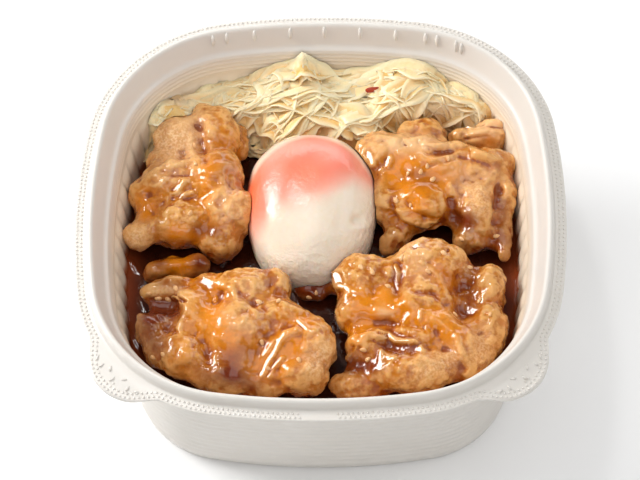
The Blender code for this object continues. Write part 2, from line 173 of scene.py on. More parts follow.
FRONT_RIGHT = lumps(
    (37, -12, 42, 13.5, 10, 10.5), (14, -16, 40, 10.5, 9, 10), (25, -16, 39, 9, 9, 9),
    (12, -27, 38, 7.5, 9.5, 9), (-3, -15, 33, 7, 4.5, 4.5), (22, -29, 41, 7, 6.5, 6.5),
    (34, -26, 40, 13, 11, 11), (36, -36, 40, 12, 10, 10), (45, -42, 40, 8, 14, 9.5, 22),
    (57, -20, 39, 6, 10, 8.5), (56, -35, 38, 7, 11, 8.5), (49, -26, 35, 8, 13, 8),
    (50, -46, 37, 8, 8, 8), (16, -42, 39, 9, 5, 7.5), (31, -51, 39, 15, 8.5, 8.5),
    (22, -46, 35, 10, 9, 7), (13, -54, 34, 11, 6, 6.5))

CORNER_PIECE = lumps(
    (56, 43, 38, 9.5, 4.5, 9), (60, 46.5, 42, 6, 3.5, 4.5), (48, 43, 38, 5, 4, 8),
    (54, 43, 32, 8, 4, 6))

CABBAGE_CORE = lumps(
    (-53, 51, 38, 10, 9, 9, -40), (-36, 59, 36, 14, 9, 8, -16), (-15, 61, 38, 12, 10, 8.5),
    (-3, 60, 38, 11, 11, 8.5), (29, 60, 40, 12, 11, 10), (43, 57, 39, 12, 8, 8.5, 18),
    (58, 54, 39, 6, 5, 8, 40), (12, 60, 36, 12, 11, 7.5), (-9, 50, 35, 12, 8, 7),
    (10, 49, 36, 12, 7, 7))

BACK_LEFT_MARKS = {
    Look.RIDGE: marks(
        (2, -1.5, -43.3, 46, -42.3, 38, -40.7, 31), (2.2, 0.9, -47.5, 47, -45.5, 40, -44.5, 33),
        (2.2, -1.4, -60.2, 16.2, -58.4, 9), (2, -0.8, -54, 27.5, -45, 24, -38, 23),
        (1.2, 0.6, -57, 27, -47, 30), (1, -0.6, -55, 24, -46, 25.5),
        (1.3, 0.6, -38, 12, -34, 20, -35, 28)),
    Look.AMBER: marks(
        (4, 0.75, -40.2, 16.1, -39.6, 27.6), (3.5, 0.85, -50, 1.5, -44, -0.5),
        (3, 0.55, -60.5, 17, -59, 8), (3.2, 0.8, -61.5, 14, -60, 8), (6, 0.45, -33, 40, -35, 30),
        (3, 0.6, -50.8, -1.7)),
    Look.DARK: marks(
        (6, 0.3, -36.3, 36.4, -33.5, 28), (3.2, 0.75, -42, 1.5, -37, 1), (2.6, 0.6, -52, -4, -46, -4.5)),
    Look.PALE: marks(
        (5, 0.55, -32.1, 8.9, -31, 16), (5, 0.35, -54, 25), (7, 0.5, -46, 47, -50, 36)),
    Look.DRY: marks(
        (8.5, 1, -52.2, 39.7), (5, 0.8, -63.4, -1.5)),
    Look.GLINT: marks(
        (1.3, 0.3, -58, 20.6, -54.4, 22.6), (1.3, 0.3, -51.5, 18.7, -48.9, 19.7, -47.3, 21.7),
        (1.4, 0.4, -51, 14.8, -48.4, 15.6, -44.7, 16.8), (0.9, 0.2, -59.1, 14, -55.7, 15.2),
        (0.9, 0.2, -62.6, 18.1, -61.3, 19.4), (0.9, 0.2, -58.8, 2.2, -57.9, 4.2)),
}

LEFT_NUB_MARKS = {
    Look.RIDGE: marks(
        (1.4, -0.9, -55, -9.5, -48, -8.6), (1.3, 0.8, -51, -13, -42, -11.5),
        (1.1, -0.8, -46.5, -8, -45.5, -14)),
    Look.AMBER: marks(
        (6, 0.9, -54, -9, -45, -9), (3.6, 0.9, -47.6, -13.8)),
    Look.DARK: marks(
        (4, 0.7, -42, -9, -38, -10), (2.8, 0.75, -54.5, -11.6, -56, -9), (2.4, 0.7, -40.9, -12.8)),
    Look.GLINT: marks(
        (0.8, 0.2, -53, -8.6, -52.4, -7.4)),
}

BACK_RIGHT_MARKS = {
    Look.RIDGE: marks(
        (1.3, 1.3, 36, 36.8, 39.6, 36.2, 47.3, 37.2, 52.1, 34.6, 60, 30.5),
        (1.8, -1.1, 37, 34, 44, 34.2, 51, 31.6, 58, 28),
        (1.2, 1.2, 26.2, 12, 28.6, 6.2, 34, 3.4, 41.5, 1.6),
        (1.3, -0.9, 29, 13.5, 31.5, 8.5, 36, 6, 42, 4.8), (1.5, 1, 20, 40, 30, 38.5, 36, 40),
        (1.8, -1.6, 44.5, 14, 46, 6), (1.6, -1.8, 61, 18, 59.5, 4), (1, 0.7, 38, 30, 48, 34, 57, 31.5),
        (0.9, -0.7, 36, 27.5, 46, 31), (1, 0.6, 20, 12, 27, 9, 36, 10),
        (1.1, 0.7, 44, 20, 47, 12, 46, 4)),
    Look.AMBER: marks(
        (6.5, 0.95, 28, 27.5, 38, 26), (5, 0.75, 30, 20, 33, 10), (4.5, 0.7, 47, 27),
        (3.6, 0.9, 29, 26.5, 34, 22, 33, 17), (3, 0.5, 21, 22.5, 24, 24)),
    Look.DARK: marks(
        (3.6, 0.55, 31.5, 24.5, 35.5, 21.5), (4.2, 0.95, 46, 6, 50, 3.5), (2.6, 0.6, 61.5, 12, 60.5, 2),
        (3, 0.6, 62.1, -3.5, 57.2, -6.3), (2.5, 0.35, 50.8, 7.3)),
    Look.PALE: marks(
        (3.5, 0.55, 25, 37, 34, 36.5), (3, 0.6, 51.3, 0.4), (5, 0.35, 57, 27, 61, 20),
        (5.5, 0.5, 19, 39, 30, 40, 42, 37), (4.5, 0.45, 15, 9, 15, 18), (5, 0.45, 46, 27, 50, 20)),
    Look.DRY: marks(
        (4.5, 0.65, 53.5, 17, 54.5, 10)),
    Look.GLINT: marks(
        (1.4, 0.4, 16.1, 33.5, 17.3, 30.7, 17.7, 28.7), (1.7, 0.4, 22.6, 28.6, 23.6, 31.4),
        (0.8, 0.2, 19.6, 26, 20.8, 26.8), (0.8, 0.2, 53.4, 39.8), (1.1, 0.2, 50.6, 1.5),
        (0.8, 0.2, 25.2, 13.7)),
}

FRONT_LEFT_MARKS = {
    Look.RIDGE: marks(
        (2.6, 1, -58.6, -24, -50.6, -22.8, -43.8, -25.2, -40.9, -36.8),
        (3.6, -1.8, -56.5, -30, -50, -30.5), (2.6, -1.3, -42.5, -18.5, -34.4, -23.8),
        (1.5, -0.9, -33.5, -24, -35.5, -31), (2.4, -1, -27.5, -52.5, -16, -60),
        (2, -0.8, -38, -44, -36, -53), (2.4, -1.3, -17, -39.5, -19.6, -46, -22.5, -55),
        (1.2, 0.8, -47, -24, -44.5, -31, -47, -38), (1.2, 0.6, -30, -22, -27, -30, -18, -33),
        (1, -0.6, -27, -24, -22, -29)),
    Look.AMBER: marks(
        (3.6, 0.8, -42, -19, -34.4, -23.3), (4.5, 0.7, -36.3, -27.7, -33, -36),
        (5, 0.55, -42.5, -56, -46, -47), (4.5, 0.65, -9, -42, -5, -36),
        (5, 0.7, -30, -45, -20, -46, -22, -54), (6, 0.5, -40, -33, -33, -40),
        (4, 0.7, -8, -46, -13, -54)),
    Look.DARK: marks(
        (4.2, 0.95, -55, -32, -50, -31.5), (4.6, 0.7, -57.5, -35.5, -57, -39.5, -54, -45),
        (4, 0.6, -30.5, -49.5, -25, -47.5), (3, 0.6, -52.8, -19.7, -49, -20.9),
        (3.6, 0.6, -28.8, -54.7, -21.8, -60.1), (4, 0.65, -37.5, -55.5, -29.5, -57.5),
        (2.4, 0.55, -40.5, -19.5, -38, -22)),
    Look.PALE: marks(
        (2.6, 0.5, -25.8, -57.1), (4.5, 0.4, -30, -34, -24, -36), (5, 0.3, -22.4, -21.6)),
    Look.DRY: marks(
        (4.5, 0.8, -1.8, -53.1, 1, -47), (2.4, 0.45, -56, -24, -48, -23)),
    Look.GLINT: marks(
        (1.5, 0.5, -7.7, -39.3, -11, -40.5, -13.2, -43.2, -15.8, -47.8, -17.7, -52.1, -19.2, -55.9),
        (1.1, 0.3, -7.2, -35.3, -4.5, -38.4), (0.7, 0.2, -35.7, -28, -35, -26.2),
        (1.4, 0.3, -53.3, -33.8, -51.3, -35.1), (0.8, 0.2, -58.5, -36, -56.6, -36.7),
        (0.8, 0.2, -48.7, -26.2, -45.6, -27.1), (0.9, 0.2, -44.5, -35.2), (0.9, 0.2, -42.9, -58),
        (0.9, 0.3, -12.2, -49.9, -17.3, -56.8)),
}

FRONT_RIGHT_MARKS = {
    Look.RIDGE: marks(
        (1.2, 1.2, 19.2, -40.2, 25.5, -42.3, 31.8, -44.1), (1.8, -1.5, 17.5, -43, 24, -46, 30, -47.2),
        (1.7, -1.3, 26.2, -13.1, 25.8, -20, 25.6, -25.8),
        (1.8, -1, 19.5, -36, 28, -36.5, 38, -38.5, 41, -46), (1.5, -0.9, 31, -23.2, 38, -24.6, 42, -29),
        (2.2, -1, 47, -13, 46, -24, 47.5, -35), (1.8, -1, 44, -47, 47, -54), (3, 1.2, 21, -32),
        (2.4, 0.9, 28.6, -28.2), (1.1, 0.6, 34, -12, 40, -18, 43, -27),
        (1.1, 0.7, 38, -34, 45, -41, 47, -48), (1, 0.6, 33, -50, 42, -53)),
    Look.AMBER: marks(
        (6, 0.95, 13.2, -26.7, 16, -32), (4.5, 0.7, 27.3, -29.5, 31, -34),
        (4.8, 0.8, 40.5, -35, 44, -40), (4, 0.6, 40.5, -15.6, 42, -20), (3.4, 0.7, 22, -24, 24, -28),
        (4, 0.6, 14, -36, 11, -43)),
    Look.DARK: marks(
        (4.6, 0.6, 49.8, -19, 50.4, -29), (4.2, 0.85, -6.9, -22.3, 3.2, -27.1),
        (3.8, 1, 10.5, -52.5, 17, -53), (4.4, 0.9, -6, -19.5, -2, -18, 1.5, -18),
        (2.4, 0.8, 22, -45, 29, -46.5), (1.8, 0.5, 25.6, -16, 25.4, -25)),
    Look.PALE: marks(
        (5, 0.45, 31.5, -6.8, 34, -16), (2.6, 0.5, 21, -32.3)),
    Look.DRY: marks(
        (4.5, 0.7, 34.6, -55.3, 43, -50), (3.8, 0.65, 53.6, -41.9, 52.8, -49.6), (2.6, 0.6, 31.2, -5.4)),
    Look.GLINT: marks(
        (2, 0.5, 5.3, -17.1, 6.4, -21.5), (1.2, 0.4, 6.4, -21.5, 8.9, -22.3),
        (0.9, 0.5, 25.4, -13.5, 26.3, -16.4, 25.4, -23.8),
        (1.2, 0.5, 19.2, -39.7, 22.4, -40.7, 25.6, -43.6, 31.3, -43.8), (1.7, 0.5, 33.3, -46.4),
        (1, 0.4, 33.2, -31.6, 33.2, -34.5), (1, 0.4, 20.4, -47.3, 19.7, -53),
        (0.7, 0.2, 22.4, -50.4, 25.2, -49.9), (0.9, 0.3, 10.7, -45.4, 9.5, -50.6),
        (0.7, 0.2, 35.4, -37.4, 35.6, -39.8), (0.7, 0.2, 36.1, -15), (0.8, 0.2, 42.9, -7.1),
        (0.9, 0.2, 31.2, -5.8, 32.9, -5)),
}

CORNER_PIECE_MARKS = {
    Look.RIDGE: marks(
        (0.9, 0.55, 53, 46, 58, 47.3, 64.5, 46), (0.7, -0.5, 51, 43.6, 57, 45.3, 63, 44.2),
        (0.9, 0.5, 51, 41.4, 58, 42.9, 65, 41.6), (0.7, -0.4, 50, 39.6, 58, 40.6)),
    Look.AMBER: marks(
        (3, 0.8, 58, 39)),
    Look.PALE: marks(
        (5, 0.9, 54, 44, 63, 46)),
    Look.GLINT: marks(
        (0.8, 0.2, 49.9, 44.8, 51.7, 44.8)),
}

# Raised runs of sauce beside the food and the wall
SAUCE_GLINTS = marks(
    (0.9, 0.3, -64.4, -11.4, -61.6, -16.1), (1.2, 0.3, -59.1, -18.9), (0.5, 0.2, -33, -13.9, -25.1, -2),
    (0.8, 0.2, -61.9, 30.6, -60.2, 31.4), (1.1, 0.4, -8.6, -23.7, -6.9, -29.5),
    (0.8, 0.3, -7.9, -20.2, -4.3, -19.7), (1.1, 0.3, 4.2, -37.8), (0.9, 0.3, -60.4, -27, -58.7, -31.1),
    (0.8, 0.3, -61.6, -42.2, -59.9, -45.3))

# The one red fleck on the cabbage
FLECK = (17.6, 61.5)

# Seeds, read as the marks are
SEEDS = (
    (-44.0, 29.5), (-44.5, 37.2), (-45.0, 8.6), (30.6, 11.4), (36.5, 28.0), (25.5, 13.6),
    (-20.6, -27.8), (-14.0, -27.4), (-6.8, -50.6), (-19.2, -43.8), (-55.0, -49.4),
    (-51.8, -48.2), (-57.6, -24.2), (-54.4, -26.2), (-51.0, -26.6), (-48.6, -22.4),
    (-17.0, -53.8), (-3.8, -26.0), (-3.2, -28.2), (-1.4, -24.2), (1.4, -27.2),
    (50.2, -14.2), (53.2, -27.6), (44.9, -33.0), (36.2, -15.6), (13.6, -14.0), (17.4, -16.0),
    (22.6, -21.6), (27.4, -10.2), (14.4, -46.6), (16.0, -50.4), (41.6, -8.4), (56.6, -33.0),
    (38.4, 22.4), (29.8, 24.8), (34.2, 25.6), (43.8, 31.2), (47.8, -2.6), (59.6, -1.4))


# Mesh helpers


def deselect() -> None:
    """Deselects every object."""
    bpy.ops.object.select_all(action="DESELECT")


def activate(obj: bpy.types.Object) -> None:
    """Selects one object alone and makes it active."""
    deselect()
    obj.select_set(True)
    bpy.context.view_layer.objects.active = obj


def apply_modifiers(obj: bpy.types.Object) -> None:
    """Applies the object's modifiers in order."""
    activate(obj)
    for modifier in list(obj.modifiers):
        bpy.ops.object.modifier_apply(modifier=modifier.name)


def points_of(obj: bpy.types.Object) -> np.ndarray:
    """The mesh's vertices in millimetres."""
    flat = np.empty(len(obj.data.vertices) * 3, np.float32)
    obj.data.vertices.foreach_get("co", flat)
    return flat.reshape(-1, 3).astype(float) / MM


def set_points(obj: bpy.types.Object, points: np.ndarray) -> None:
    """Moves the mesh's vertices to the given places, in millimetres."""
    obj.data.vertices.foreach_set("co", (points * MM).astype(np.float32).ravel())
    obj.data.update()


def normals_of(obj: bpy.types.Object) -> np.ndarray:
    """The mesh's vertex normals."""
    flat = np.empty(len(obj.data.vertices) * 3, np.float32)
    obj.data.vertex_normals.foreach_get("vector", flat)
    return flat.reshape(-1, 3).astype(float)


def save_mask(obj: bpy.types.Object, name: str, values: np.ndarray) -> None:
    """Keeps one number for each vertex as an attribute that a material reads."""
    layer = obj.data.attributes.new(name, "FLOAT", "POINT")
    layer.data.foreach_set("value", np.asarray(values, np.float32))


def tree_of(obj: bpy.types.Object) -> BVHTree:
    """A search tree over the mesh, in millimetres."""
    faces = [tuple(face.vertices) for face in obj.data.polygons]
    return BVHTree.FromPolygons([tuple(p) for p in points_of(obj)], faces)


def ball(fineness: int) -> tuple[bpy.types.Object, np.ndarray]:
    """A new ball of radius 1, and its vertices in units of that radius."""
    deselect()
    bpy.ops.mesh.primitive_ico_sphere_add(subdivisions=fineness, radius=1.0)
    obj = bpy.context.object
    return obj, points_of(obj) * MM


def unit_rows(rows: np.ndarray) -> np.ndarray:
    """Each row at a length of 1."""
    return rows / np.linalg.norm(rows, axis=1)[:, None]


def share_of(values: np.ndarray, start: float = 0.0, width: float = 1.0) -> np.ndarray:
    """How far values are along a stretch, from 0 to 1."""
    return np.clip((values - start) / width, 0, 1)


def bell(distance: np.ndarray, reach: float) -> np.ndarray:
    """A smooth bump: 1 at no distance, fading over the reach."""
    return np.exp(-(distance / reach) ** 2)


def patches(x: np.ndarray, y: np.ndarray, rows: Rows) -> np.ndarray:
    """The sum of soft oval patches in a plane.

    Args:
        x: Where to read the sum, across.
        y: Where to read the sum, up.
        rows: Each patch's middle, its two reaches and its strength.

    Returns:
        One sum for each place.
    """
    total = np.zeros(len(x))
    for middle_x, middle_y, reach_x, reach_y, strength in rows:
        total += strength * bell(x - middle_x, reach_x) * bell(y - middle_y, reach_y)
    return total


def relaxed(obj: bpy.types.Object, points: np.ndarray, rounds: int) -> np.ndarray:
    """Positions after each vertex has moved to its neighbours' mean so many times.

    Args:
        obj: The mesh whose edges say which vertices are neighbours.
        points: Where the vertices start, in millimetres.
        rounds: How often the mean is taken.

    Returns:
        The smoothed positions.
    """
    flat = np.empty(len(obj.data.edges) * 2, np.int32)
    obj.data.edges.foreach_get("vertices", flat)
    one, two = flat.reshape(-1, 2).T
    count = len(points)
    degree = np.bincount(one, minlength=count) + np.bincount(two, minlength=count)
    degree = np.maximum(degree, 1)
    out = points.copy()
    for _ in range(rounds):
        for axis in range(3):
            value = out[:, axis]
            total = np.bincount(one, value[two], count) + np.bincount(two, value[one], count)
            out[:, axis] = 0.5 * value + 0.5 * total / degree
    return out


def read_plane(points: np.ndarray) -> np.ndarray:
    """Where the lines of sight to the points meet the reading plane, as x and y."""
    share = (READ_Z - EYE[2]) / (points[:, 2] - EYE[2])
    return EYE[:2] + (points[:, :2] - EYE[:2]) * share[:, None]


def sight(x: float, y: float) -> Vector:
    """The direction from the eye to a place on the reading plane."""
    return (Vector((x, y, READ_Z)) - Vector(EYE)).normalized()


def walked(corners: np.ndarray) -> np.ndarray:
    """How far along a broken line each of its corners is."""
    return np.append(0.0, np.cumsum(np.linalg.norm(np.diff(corners, axis=0), axis=1)))


def places_along(corners: np.ndarray, stops: np.ndarray) -> np.ndarray:
    """The places at the given lengths along a broken line."""
    lengths = walked(corners)
    return np.column_stack([np.interp(stops, lengths, values) for values in corners.T])


def distance_to_path(places: np.ndarray, path: Rows) -> np.ndarray:
    """Distance of each place to a point or to a broken line.

    Args:
        places: Places in a plane.
        path: The point, or the line's corners.

    Returns:
        One distance for each place.
    """
    corners = np.array(path, float)
    if len(corners) == 1:
        return np.linalg.norm(places - corners[0], axis=1)
    best = np.full(len(places), np.inf)
    for start, end in zip(corners, corners[1:]):
        along = end - start
        share = np.clip((places - start) @ along / (along @ along), 0.0, 1.0)
        best = np.minimum(best, np.linalg.norm(places - start - share[:, None] * along, axis=1))
    return best


def lay_glint(points: np.ndarray, upper: np.ndarray, mark: Mark, light: np.ndarray) -> None:
    """Lays the surface along a mark flat, turned so that it mirrors a light.

    Args:
        points: The surface's vertices, which are moved.
        upper: Which vertices may move.
        mark: The glint: its path, half width and how far it stands up.
        light: The light's place.
    """
    stop_spacing, stop_reach, tilt_limit, move_limit, edge = 0.8, 1.5, 1.0, 1.8, 1.8
    seen = read_plane(points)
    corners = np.array(mark.path, float)
    length = walked(corners)[-1]
    stops = places_along(corners, np.linspace(0.0, length, 2 + int(length / stop_spacing)))
    base, kept = [], []
    for stop in stops:
        near = upper & (np.linalg.norm(seen - stop, axis=1) < stop_reach)
        if near.any():
            base.append(points[near].mean(axis=0))
            kept.append(stop)
    if not base:
        return
    base, kept = np.array(base), np.array(kept)
    middle = base.mean(axis=0)
    facing = unit_rows(np.array((EYE - middle, light - middle))).sum(axis=0)
    facing /= np.linalg.norm(facing)
    base -= np.clip((base - middle) @ facing, -tilt_limit, tilt_limit)[:, None] * facing
    away = distance_to_path(seen, mark.path) / mark.reach
    close = np.nonzero(upper & (away < edge))[0]
    if not len(close):
        return
    nearest = np.linalg.norm(seen[close][:, None] - kept[None], axis=2).argmin(axis=1)
    height = (points[close] - base[nearest]) @ facing - mark.strength
    share = np.exp(-away[close] ** 4)
    points[close] -= (share * np.clip(height, -move_limit, move_limit))[:, None] * facing


def outline(station: Station, count: int, inset: float = 0.0) -> np.ndarray:
    """Evenly spaced points of a square with bowed sides and round corners.

    Args:
        station: The outline's sizes.
        count: How many points, a multiple of four.
        inset: How far inside the station the outline runs.

    Returns:
        The points as x and y, anticlockwise from +X.
    """
    half, corner = station.half - inset, station.corner - inset
    bow = math.radians(station.bow)
    centre = (half - corner) / (1 + math.tan(bow / 2))
    side_radius = corner + centre / math.sin(bow)
    side = side_radius * bow
    bend = corner * (math.pi / 2 - 2 * bow)
    along = np.arange(count // 4) / (count // 4) * (2 * side + bend)
    first = along / side_radius
    round_angle = bow + (along - side) / corner
    last = (along - side - bend) / side_radius - bow
    x = np.where(
        along < side, half - side_radius + side_radius * np.cos(first),
        centre + corner * np.cos(round_angle))
    y = np.where(
        along < side, side_radius * np.sin(first), centre + corner * np.sin(round_angle))
    over = along > side + bend
    x[over] = -side_radius * np.sin(last[over])
    y[over] = half - side_radius + side_radius * np.cos(last[over])
    turned = []
    for quarter in range(4):
        cos, sin = math.cos(quarter * math.pi / 2), math.sin(quarter * math.pi / 2)
        turned.append(np.column_stack((x * cos - y * sin, x * sin + y * cos)))
    return np.vstack(turned)


def reach_of(station: Station, points: np.ndarray, inset: float = 0.0) -> np.ndarray:
    """How far from the axis a station's outline is, in the direction of each point."""
    table = outline(station, FINE_OUTLINE, inset)
    turn = np.arctan2(table[:, 1], table[:, 0])
    order = np.argsort(turn)
    return np.interp(
        np.arctan2(points[:, 1], points[:, 0]), turn[order],
        np.linalg.norm(table, axis=1)[order], period=math.tau)


def ring_mesh(name: str, rings: list[np.ndarray], marked: int = 0) -> bpy.types.Object:
    """A closed shell through rings of as many points each, from a grid rolled up.

    Args:
        name: The object's name.
        rings: The rings' points in millimetres, from one closed end to the other.
        marked: How many of the last rings the mask named inside marks.

    Returns:
        The object.
    """
    weld = 0.02 * MM
    deselect()
    count = len(rings[0])
    bpy.ops.mesh.primitive_grid_add(x_subdivisions=count, y_subdivisions=len(rings) - 1, size=1)
    obj = bpy.context.object
    obj.name = name
    set_points(obj, np.vstack([np.vstack((ring, ring[:1])) for ring in rings]))
    inside = np.zeros((len(rings), count + 1))
    inside[len(rings) - marked:] = 1.0
    save_mask(obj, "inside", inside.ravel())
    bpy.ops.object.mode_set(mode="EDIT")
    bpy.ops.mesh.select_all(action="SELECT")
    bpy.ops.mesh.remove_doubles(threshold=weld)
    bpy.ops.mesh.select_all(action="DESELECT")
    bpy.ops.mesh.select_mode(type="EDGE")
    bpy.ops.mesh.select_non_manifold()
    bpy.ops.mesh.edge_face_add()
    bpy.ops.mesh.select_all(action="SELECT")
    bpy.ops.mesh.normals_make_consistent(inside=False)
    bpy.ops.mesh.select_mode(type="VERT")
    bpy.ops.object.mode_set(mode="OBJECT")
    return obj


def copies_mesh(
    name: str, seed: bpy.types.Object, places: list[np.ndarray]
) -> bpy.types.Object:
    """One mesh that holds a copy of a small shape at each place.

    Args:
        name: The object's name.
        seed: The shape, which is removed.
        places: The copies' vertices in millimetres, one array for each copy.

    Returns:
        The object.
    """
    count = len(seed.data.vertices)
    faces = [
        tuple(index + number * count for index in face.vertices)
        for number in range(len(places)) for face in seed.data.polygons]
    mesh = bpy.data.meshes.new(name)
    mesh.from_pydata((np.vstack(places) * MM).tolist(), [], faces)
    obj = bpy.data.objects.new(name, mesh)
    bpy.context.scene.collection.objects.link(obj)
    bpy.data.objects.remove(seed)
    return obj


def slice_bottom(obj: bpy.types.Object, level: float) -> None:
    """Cuts off what lies below a level in millimetres and closes the cut."""
    activate(obj)
    bpy.ops.object.mode_set(mode="EDIT")
    bpy.ops.mesh.select_all(action="SELECT")
    bpy.ops.mesh.bisect(
        plane_co=(0.0, 0.0, level * MM), plane_no=(0.0, 0.0, 1.0), use_fill=True,
        clear_inner=True)
    bpy.ops.object.mode_set(mode="OBJECT")


def keep_inside_wall(points: np.ndarray, gap: float) -> np.ndarray:
    """Moves points that lie outside the bowl's inner wall back to a gap from it.

    Args:
        points: Places in millimetres.
        gap: The clearance to the wall.

    Returns:
        The moved places.
    """
    out = points.copy()
    reach = np.array([reach_of(station, out) for station in WALL])
    last = len(WALL) - 1.001
    level = np.interp(out[:, 2], [station.z for station in WALL], range(len(WALL)))
    level = np.clip(level, 0, last)
    low = level.astype(int)
    share = level - low
    index = np.arange(len(out))
    allowed = reach[low, index] * (1 - share) + reach[low + 1, index] * share - gap
    radius = np.linalg.norm(out[:, :2], axis=1)
    out[:, :2] *= np.where(radius > allowed, allowed / np.maximum(radius, 1e-6), 1.0)[:, None]
    return out


def keep_clear(points: np.ndarray, trees: list[BVHTree], gap: float) -> np.ndarray:
    """Moves points that lie in a neighbour, or too near to it, to a gap from its surface.

    Args:
        points: Places in millimetres.
        trees: The neighbours.
        gap: The clearance.

    Returns:
        The moved places.
    """
    search = 14.0
    out = points.copy()
    for tree in trees:
        for number, point in enumerate(out):
            near, normal, _, distance = tree.find_nearest(Vector(point), search)
            if near is None:
                continue
            depth = (Vector(point) - near).dot(normal)
            if depth < 0 or distance < gap:
                out[number] = near + normal * gap
    return out


def fitted(
    obj: bpy.types.Object, neighbours: list[BVHTree], gap: float = GAP
) -> np.ndarray:
    """Keeps a mesh off the wall and its neighbours, and gives its vertices.

    Args:
        obj: The mesh, which is changed.
        neighbours: What it has to stay clear of.
        gap: The clearance to the neighbours.

    Returns:
        The vertices in millimetres.
    """
    points = keep_clear(keep_inside_wall(points_of(obj), GAP), neighbours, gap)
    set_points(obj, points)
    return points


# Shading


class Value:
    """A number in a node tree, whose plain arithmetic adds Math nodes."""

    def __init__(self, nodes: "Nodes", socket: bpy.types.NodeSocket) -> None:
        """Takes the socket that gives the number."""
        self.nodes = nodes
        self.socket = socket

    def math(self, operation: str, other: "Value | float") -> "Value":
        """A Math node on this number and another."""
        node = self.nodes.add("ShaderNodeMath", operation=operation)
        self.nodes.feed(node.inputs[0], self)
        self.nodes.feed(node.inputs[1], other)
        return Value(self.nodes, node.outputs[0])

    def __add__(self, other: "Value | float") -> "Value":
        """The sum."""
        return self.math("ADD", other)

    def __sub__(self, other: "Value | float") -> "Value":
        """The difference."""
        return self.math("SUBTRACT", other)

    def __mul__(self, other: "Value | float") -> "Value":
        """The product."""
        return self.math("MULTIPLY", other)

    def clamped(self) -> "Value":
        """This sum, difference or product, held between 0 and 1."""
        self.socket.node.use_clamp = True
        return self


class Nodes:
    """Builds a node tree in few words."""

    def __init__(self, tree: bpy.types.NodeTree) -> None:
        """Starts on an empty or a new tree."""
        self.tree = tree

    def add(self, kind: str, **settings: object) -> bpy.types.Node:
        """Adds a node and sets its properties.

        Args:
            kind: The node's type name.
            settings: Its properties by name.

        Returns:
            The node.
        """
        node = self.tree.nodes.new(kind)
        for name, value in settings.items():
            setattr(node, name, value)
        return node

    def feed(self, socket: bpy.types.NodeSocket, value: object) -> None:
        """Links a socket to the input, or sets a plain value on it."""
        if isinstance(value, Value):
            value = value.socket
        if isinstance(value, bpy.types.NodeSocket):
            self.tree.links.new(value, socket)
        elif isinstance(value, tuple) and socket.type == "RGBA":
            socket.default_value = (*value, 1.0)
        else:
            socket.default_value = value

    def coordinates(self) -> bpy.types.NodeSocket:
        """Object coordinates, in metres."""
        return self.add("ShaderNodeTexCoord").outputs["Object"]

    def mask(self, name: str) -> Value:
        """The number that the mesh keeps under this name."""
        return Value(self, self.add("ShaderNodeAttribute", attribute_name=name).outputs["Fac"])

    def ramp(self, value: Value, low: float, high: float) -> Value:
        """The value's place between two ends, from 0 to 1, eased at both."""
        node = self.add("ShaderNodeMapRange", interpolation_type="SMOOTHSTEP")
        self.feed(node.inputs["Value"], value)
        self.feed(node.inputs["From Min"], low)
        self.feed(node.inputs["From Max"], high)
        return Value(self, node.outputs["Result"])

    def mix(self, share: Value, one: object, two: object) -> bpy.types.NodeSocket:
        """A mixed colour."""
        node = self.add("ShaderNodeMix", data_type="RGBA")
        self.feed(node.inputs["Factor"], share)
        self.feed(node.inputs[6], one)
        self.feed(node.inputs[7], two)
        return node.outputs[2]

    def noise(
        self, where: bpy.types.NodeSocket, size: "Value | float", detail: float = 2.0,
        warp: float = 0.0, rough: float = 0.5
    ) -> Value:
        """Noise whose features are about a size in millimetres.

        Args:
            where: The coordinates, in metres.
            size: The features' size.
            detail: How many finer layers it has.
            warp: How far it is distorted.
            rough: How strong the finer layers are.

        Returns:
            The noise, about 0.5.
        """
        scale = self.add("ShaderNodeMath", operation="DIVIDE")
        self.feed(scale.inputs[0], 1 / MM)
        self.feed(scale.inputs[1], size)
        node = self.add("ShaderNodeTexNoise")
        for name, value in (
            ("Vector", where), ("Scale", scale.outputs[0]), ("Detail", detail),
            ("Distortion", warp), ("Roughness", rough),
        ):
            self.feed(node.inputs[name], value)
        return Value(self, node.outputs["Fac"])

    def use(self, group: bpy.types.NodeTree, **values: object) -> Value:
        """Places a group, feeds its inputs by their lower-case names and gives its output."""
        node = self.add("ShaderNodeGroup", node_tree=group)
        for name, value in values.items():
            self.feed(node.inputs[name.capitalize()], value)
        return Value(self, node.outputs[0])


def new_group(
    name: str, inputs: dict[str, float], output: str, fill: Callable[..., Value]
) -> bpy.types.NodeTree:
    """A shader node group with a vector input, Place, and number inputs.

    Args:
        name: The group's name.
        inputs: Each number input's name and what it is unless fed.
        output: The number output's name.
        fill: Makes the output from the builder, the place and the numbers.

    Returns:
        The group.
    """
    group = bpy.data.node_groups.new(name, "ShaderNodeTree")
    group.interface.new_socket("Place", in_out="INPUT", socket_type="NodeSocketVector")
    for label, value in inputs.items():
        socket = group.interface.new_socket(
            label, in_out="INPUT", socket_type="NodeSocketFloat")
        socket.default_value = value
    group.interface.new_socket(output, in_out="OUTPUT", socket_type="NodeSocketFloat")
    nodes = Nodes(group)
    given = nodes.add("NodeGroupInput").outputs
    numbers = [Value(nodes, given[label]) for label in inputs]
    made = fill(nodes, given["Place"], *numbers)
    nodes.feed(nodes.add("NodeGroupOutput").inputs[output], made)
    return group


